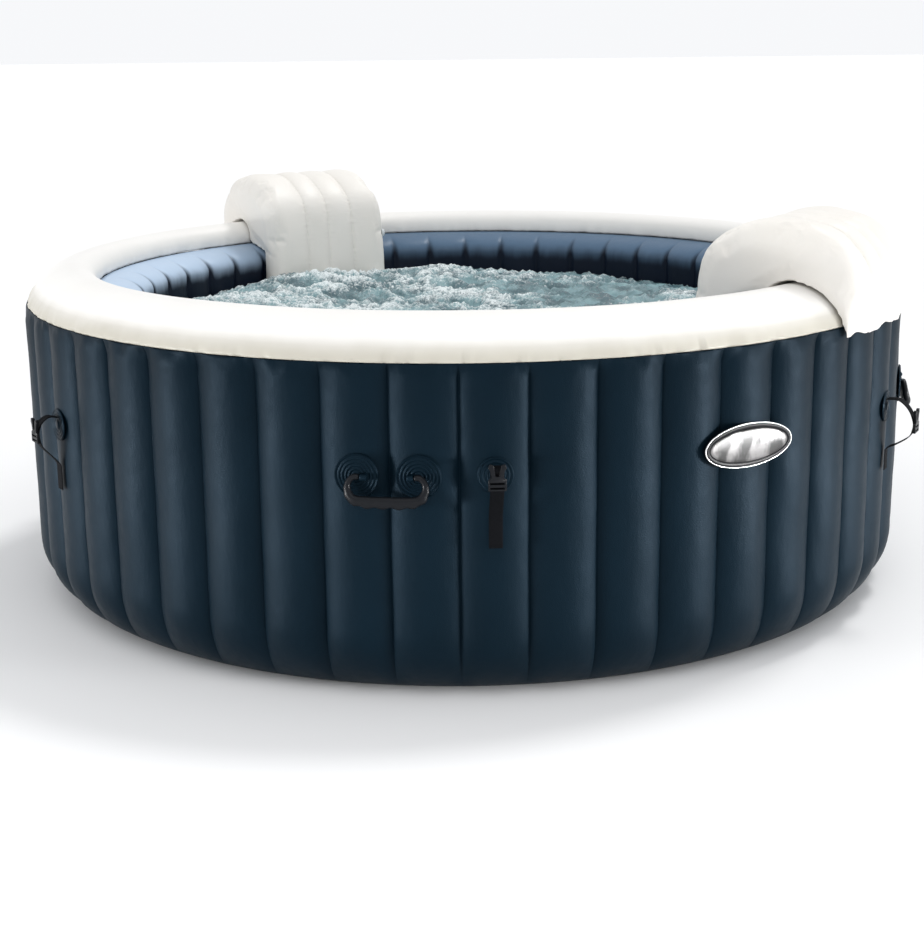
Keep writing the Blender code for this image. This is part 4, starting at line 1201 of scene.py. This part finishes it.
# ---------------------------------------------------------------- fittings at the back
# Moulded pipe fittings through the wall for the pump's water and air, the drain, and the
# inflation valve on the air chamber. Each has a flange, a threaded neck and a knurled cap.
FITTINGS = {  # name: azimuth, height, bore, inner end
    "water_inlet": (160.15, 0.33, 0.019, 0.7206), "water_outlet": (175.15, 0.33, 0.019, 0.7206),
    "air_inlet": (190.15, 0.33, 0.019, 0.7206), "drain": (145.15, 0.17, 0.012, 0.7206),
    "inflation_valve": (205.15, 0.46, 0.016, 0.946),
}
PIPE_WALL, COLLAR, FLANGE, FLANGE_THICKNESS = 0.004, 0.030, 0.016, 0.004
THREAD_TURNS = 5
CAP_RIBS = 30
grey_plastic = new_material(
    "grey_plastic", mottled(60.0, (0.26, 0.28, 0.30), (0.34, 0.36, 0.38), 4.0),
    uneven(150.0, 0.36, 0.52, 4.0), [vinyl_grain(0.0010, 0.00008)])


def make_knurl_tree():
    """Set rounded ribs round a cap that was turned about Z."""
    tree, given, output = new_tree(
        "ribs_round_a_cap", Geometry="Geometry", Ribs="Int", Ring_radius="Float",
        Rib_radius="Float", Rib_length="Float", Rib_middle="Float", Material="Material")
    ring = add_node(tree, "GeometryNodeMeshCircle",
                    {"Vertices": given["Ribs"], "Radius": given["Ring radius"]})
    rib = add_node(tree, "GeometryNodeMeshCylinder",
                   {"Vertices": 8, "Radius": given["Rib radius"], "Depth": given["Rib length"]})
    stood = add_node(tree, "GeometryNodeInstanceOnPoints",
                     {"Points": ring.outputs[0], "Instance": rib.outputs[0]})
    lift = add_node(tree, "ShaderNodeCombineXYZ", {"Z": given["Rib middle"]})
    raised = add_node(tree, "GeometryNodeTranslateInstances",
                      {"Instances": stood.outputs[0], "Translation": lift.outputs[0]})
    joined = add_node(tree, "GeometryNodeJoinGeometry")
    tree.links.new(given["Geometry"], joined.inputs[0])
    tree.links.new(raised.outputs[0], joined.inputs[0])
    end_tree(tree, output, joined.outputs[0], given["Material"])
    return tree


knurl_tree = make_knurl_tree()
for label, (azimuth, height, bore, inner_end) in FITTINGS.items():
    pipe = bore + PIPE_WALL
    flange = pipe + FLANGE
    seat = OUTER_RADIUS + GAP - inner_end
    neck = seat + FLANGE_THICKNESS + COLLAR
    thread = []
    for k in range(THREAD_TURNS * 4, -1, -1):
        share = k / (THREAD_TURNS * 4)
        thread.append((pipe - 0.0005 + 0.0004 * math.cos(math.tau * THREAD_TURNS * share),
                       seat + FLANGE_THICKNESS + 0.004 + (COLLAR - 0.006) * share))
    profile = [(bore + 0.0006, neck), (pipe - 0.0006, neck)] + thread + [
        (pipe, seat + FLANGE_THICKNESS), (flange - 0.003, seat + FLANGE_THICKNESS),
        (flange, seat + 0.001), (flange, seat), (pipe, seat), (pipe, FLANGE_THICKNESS),
        (flange, FLANGE_THICKNESS), (flange, 0.0008), (flange - 0.001, 0.0), (bore, 0.0)]
    fitting = crisp(turned_mesh("fitting", profile), 0.0005, 50.0)
    add_piece(label + "_threaded_fitting",
              set_on_wall(fitting, azimuth, inner_end, height, facing_out=True),
              black_plastic, "tub", [label + "_fitting"])
    inside = pipe + 2 * GAP
    outside = inside + PIPE_WALL
    length = COLLAR + PIPE_WALL
    cap = turned_mesh("cap", [
        (0.0, length - 0.0012), (outside * 0.55, length - 0.0012), (outside * 0.62, length),
        (outside - 0.0016, length), (outside - 0.0006, length - 0.0016), (outside - 0.0006, 0.0),
        (inside, 0.0), (inside, COLLAR + GAP), (0.0, COLLAR + GAP)])
    cap = grown(knurl_tree, crisp(cap, 0.0005), Ribs=CAP_RIBS, Ring_radius=outside - 0.0010,
                Rib_radius=0.0016, Rib_length=length - 0.008, Rib_middle=length / 2 - 0.001,
                Material=grey_plastic)
    cap.set_sharp_from_angle(angle=math.radians(50))
    start = OUTER_RADIUS + FLANGE_THICKNESS + 2 * GAP
    add_piece(label + "_knurled_cap", set_on_wall(cap, azimuth, start, height, facing_out=True),
              grey_plastic, label + "_cap", [label + "_cap"])

# Domed strainers, slotted all round, are pushed over the inner ends of the water fittings.
STRAINER_DEPTH, STRAINER_WALL = 0.022, 0.0025
for label in ("water_inlet", "water_outlet"):
    azimuth, height, bore, inner_end = FITTINGS[label]
    lip = bore + PIPE_WALL + FLANGE
    steps = [(0.0, 0.0), (lip * 0.2, 0.0005), (lip * 0.3, 0.001), (lip * 0.62, 0.003),
             (lip * 0.70, 0.004), (lip * 0.78, 0.0075), (lip * 0.94, 0.0165), (lip * 0.97, 0.019),
             (lip, STRAINER_DEPTH)]
    shape = bmesh.new()
    rings = [[shape.verts.new((r * math.cos(math.tau * i / 72), r * math.sin(math.tau * i / 72), h))
              for i in range(72)] for r, h in steps]
    for row, (upper, lower) in enumerate(zip(rings, rings[1:])):
        for i in range(72):
            if row in (2, 5) and i % 4 < 2:
                continue
            after = (i + 1) % 72
            shape.faces.new((upper[i], lower[i], lower[after], upper[after]))
    bmesh.ops.remove_doubles(shape, verts=shape.verts, dist=1e-6)
    mesh = bpy.data.meshes.new("strainer")
    shape.to_mesh(mesh)
    shape.free()
    mesh = worked(mesh, ("SOLIDIFY", {"thickness": STRAINER_WALL, "offset": -1.0}))
    mesh = crisp(mesh, 0.0004)
    start = INNER_RADIUS - LOBE_DEPTH - FLANGE_THICKNESS - 3 * SOFT_GAP - STRAINER_DEPTH
    add_piece(label + "_slotted_strainer",
              set_on_wall(mesh, azimuth, start, height, facing_out=True),
              grey_plastic, label + "_strainer", [label + "_strainer"])
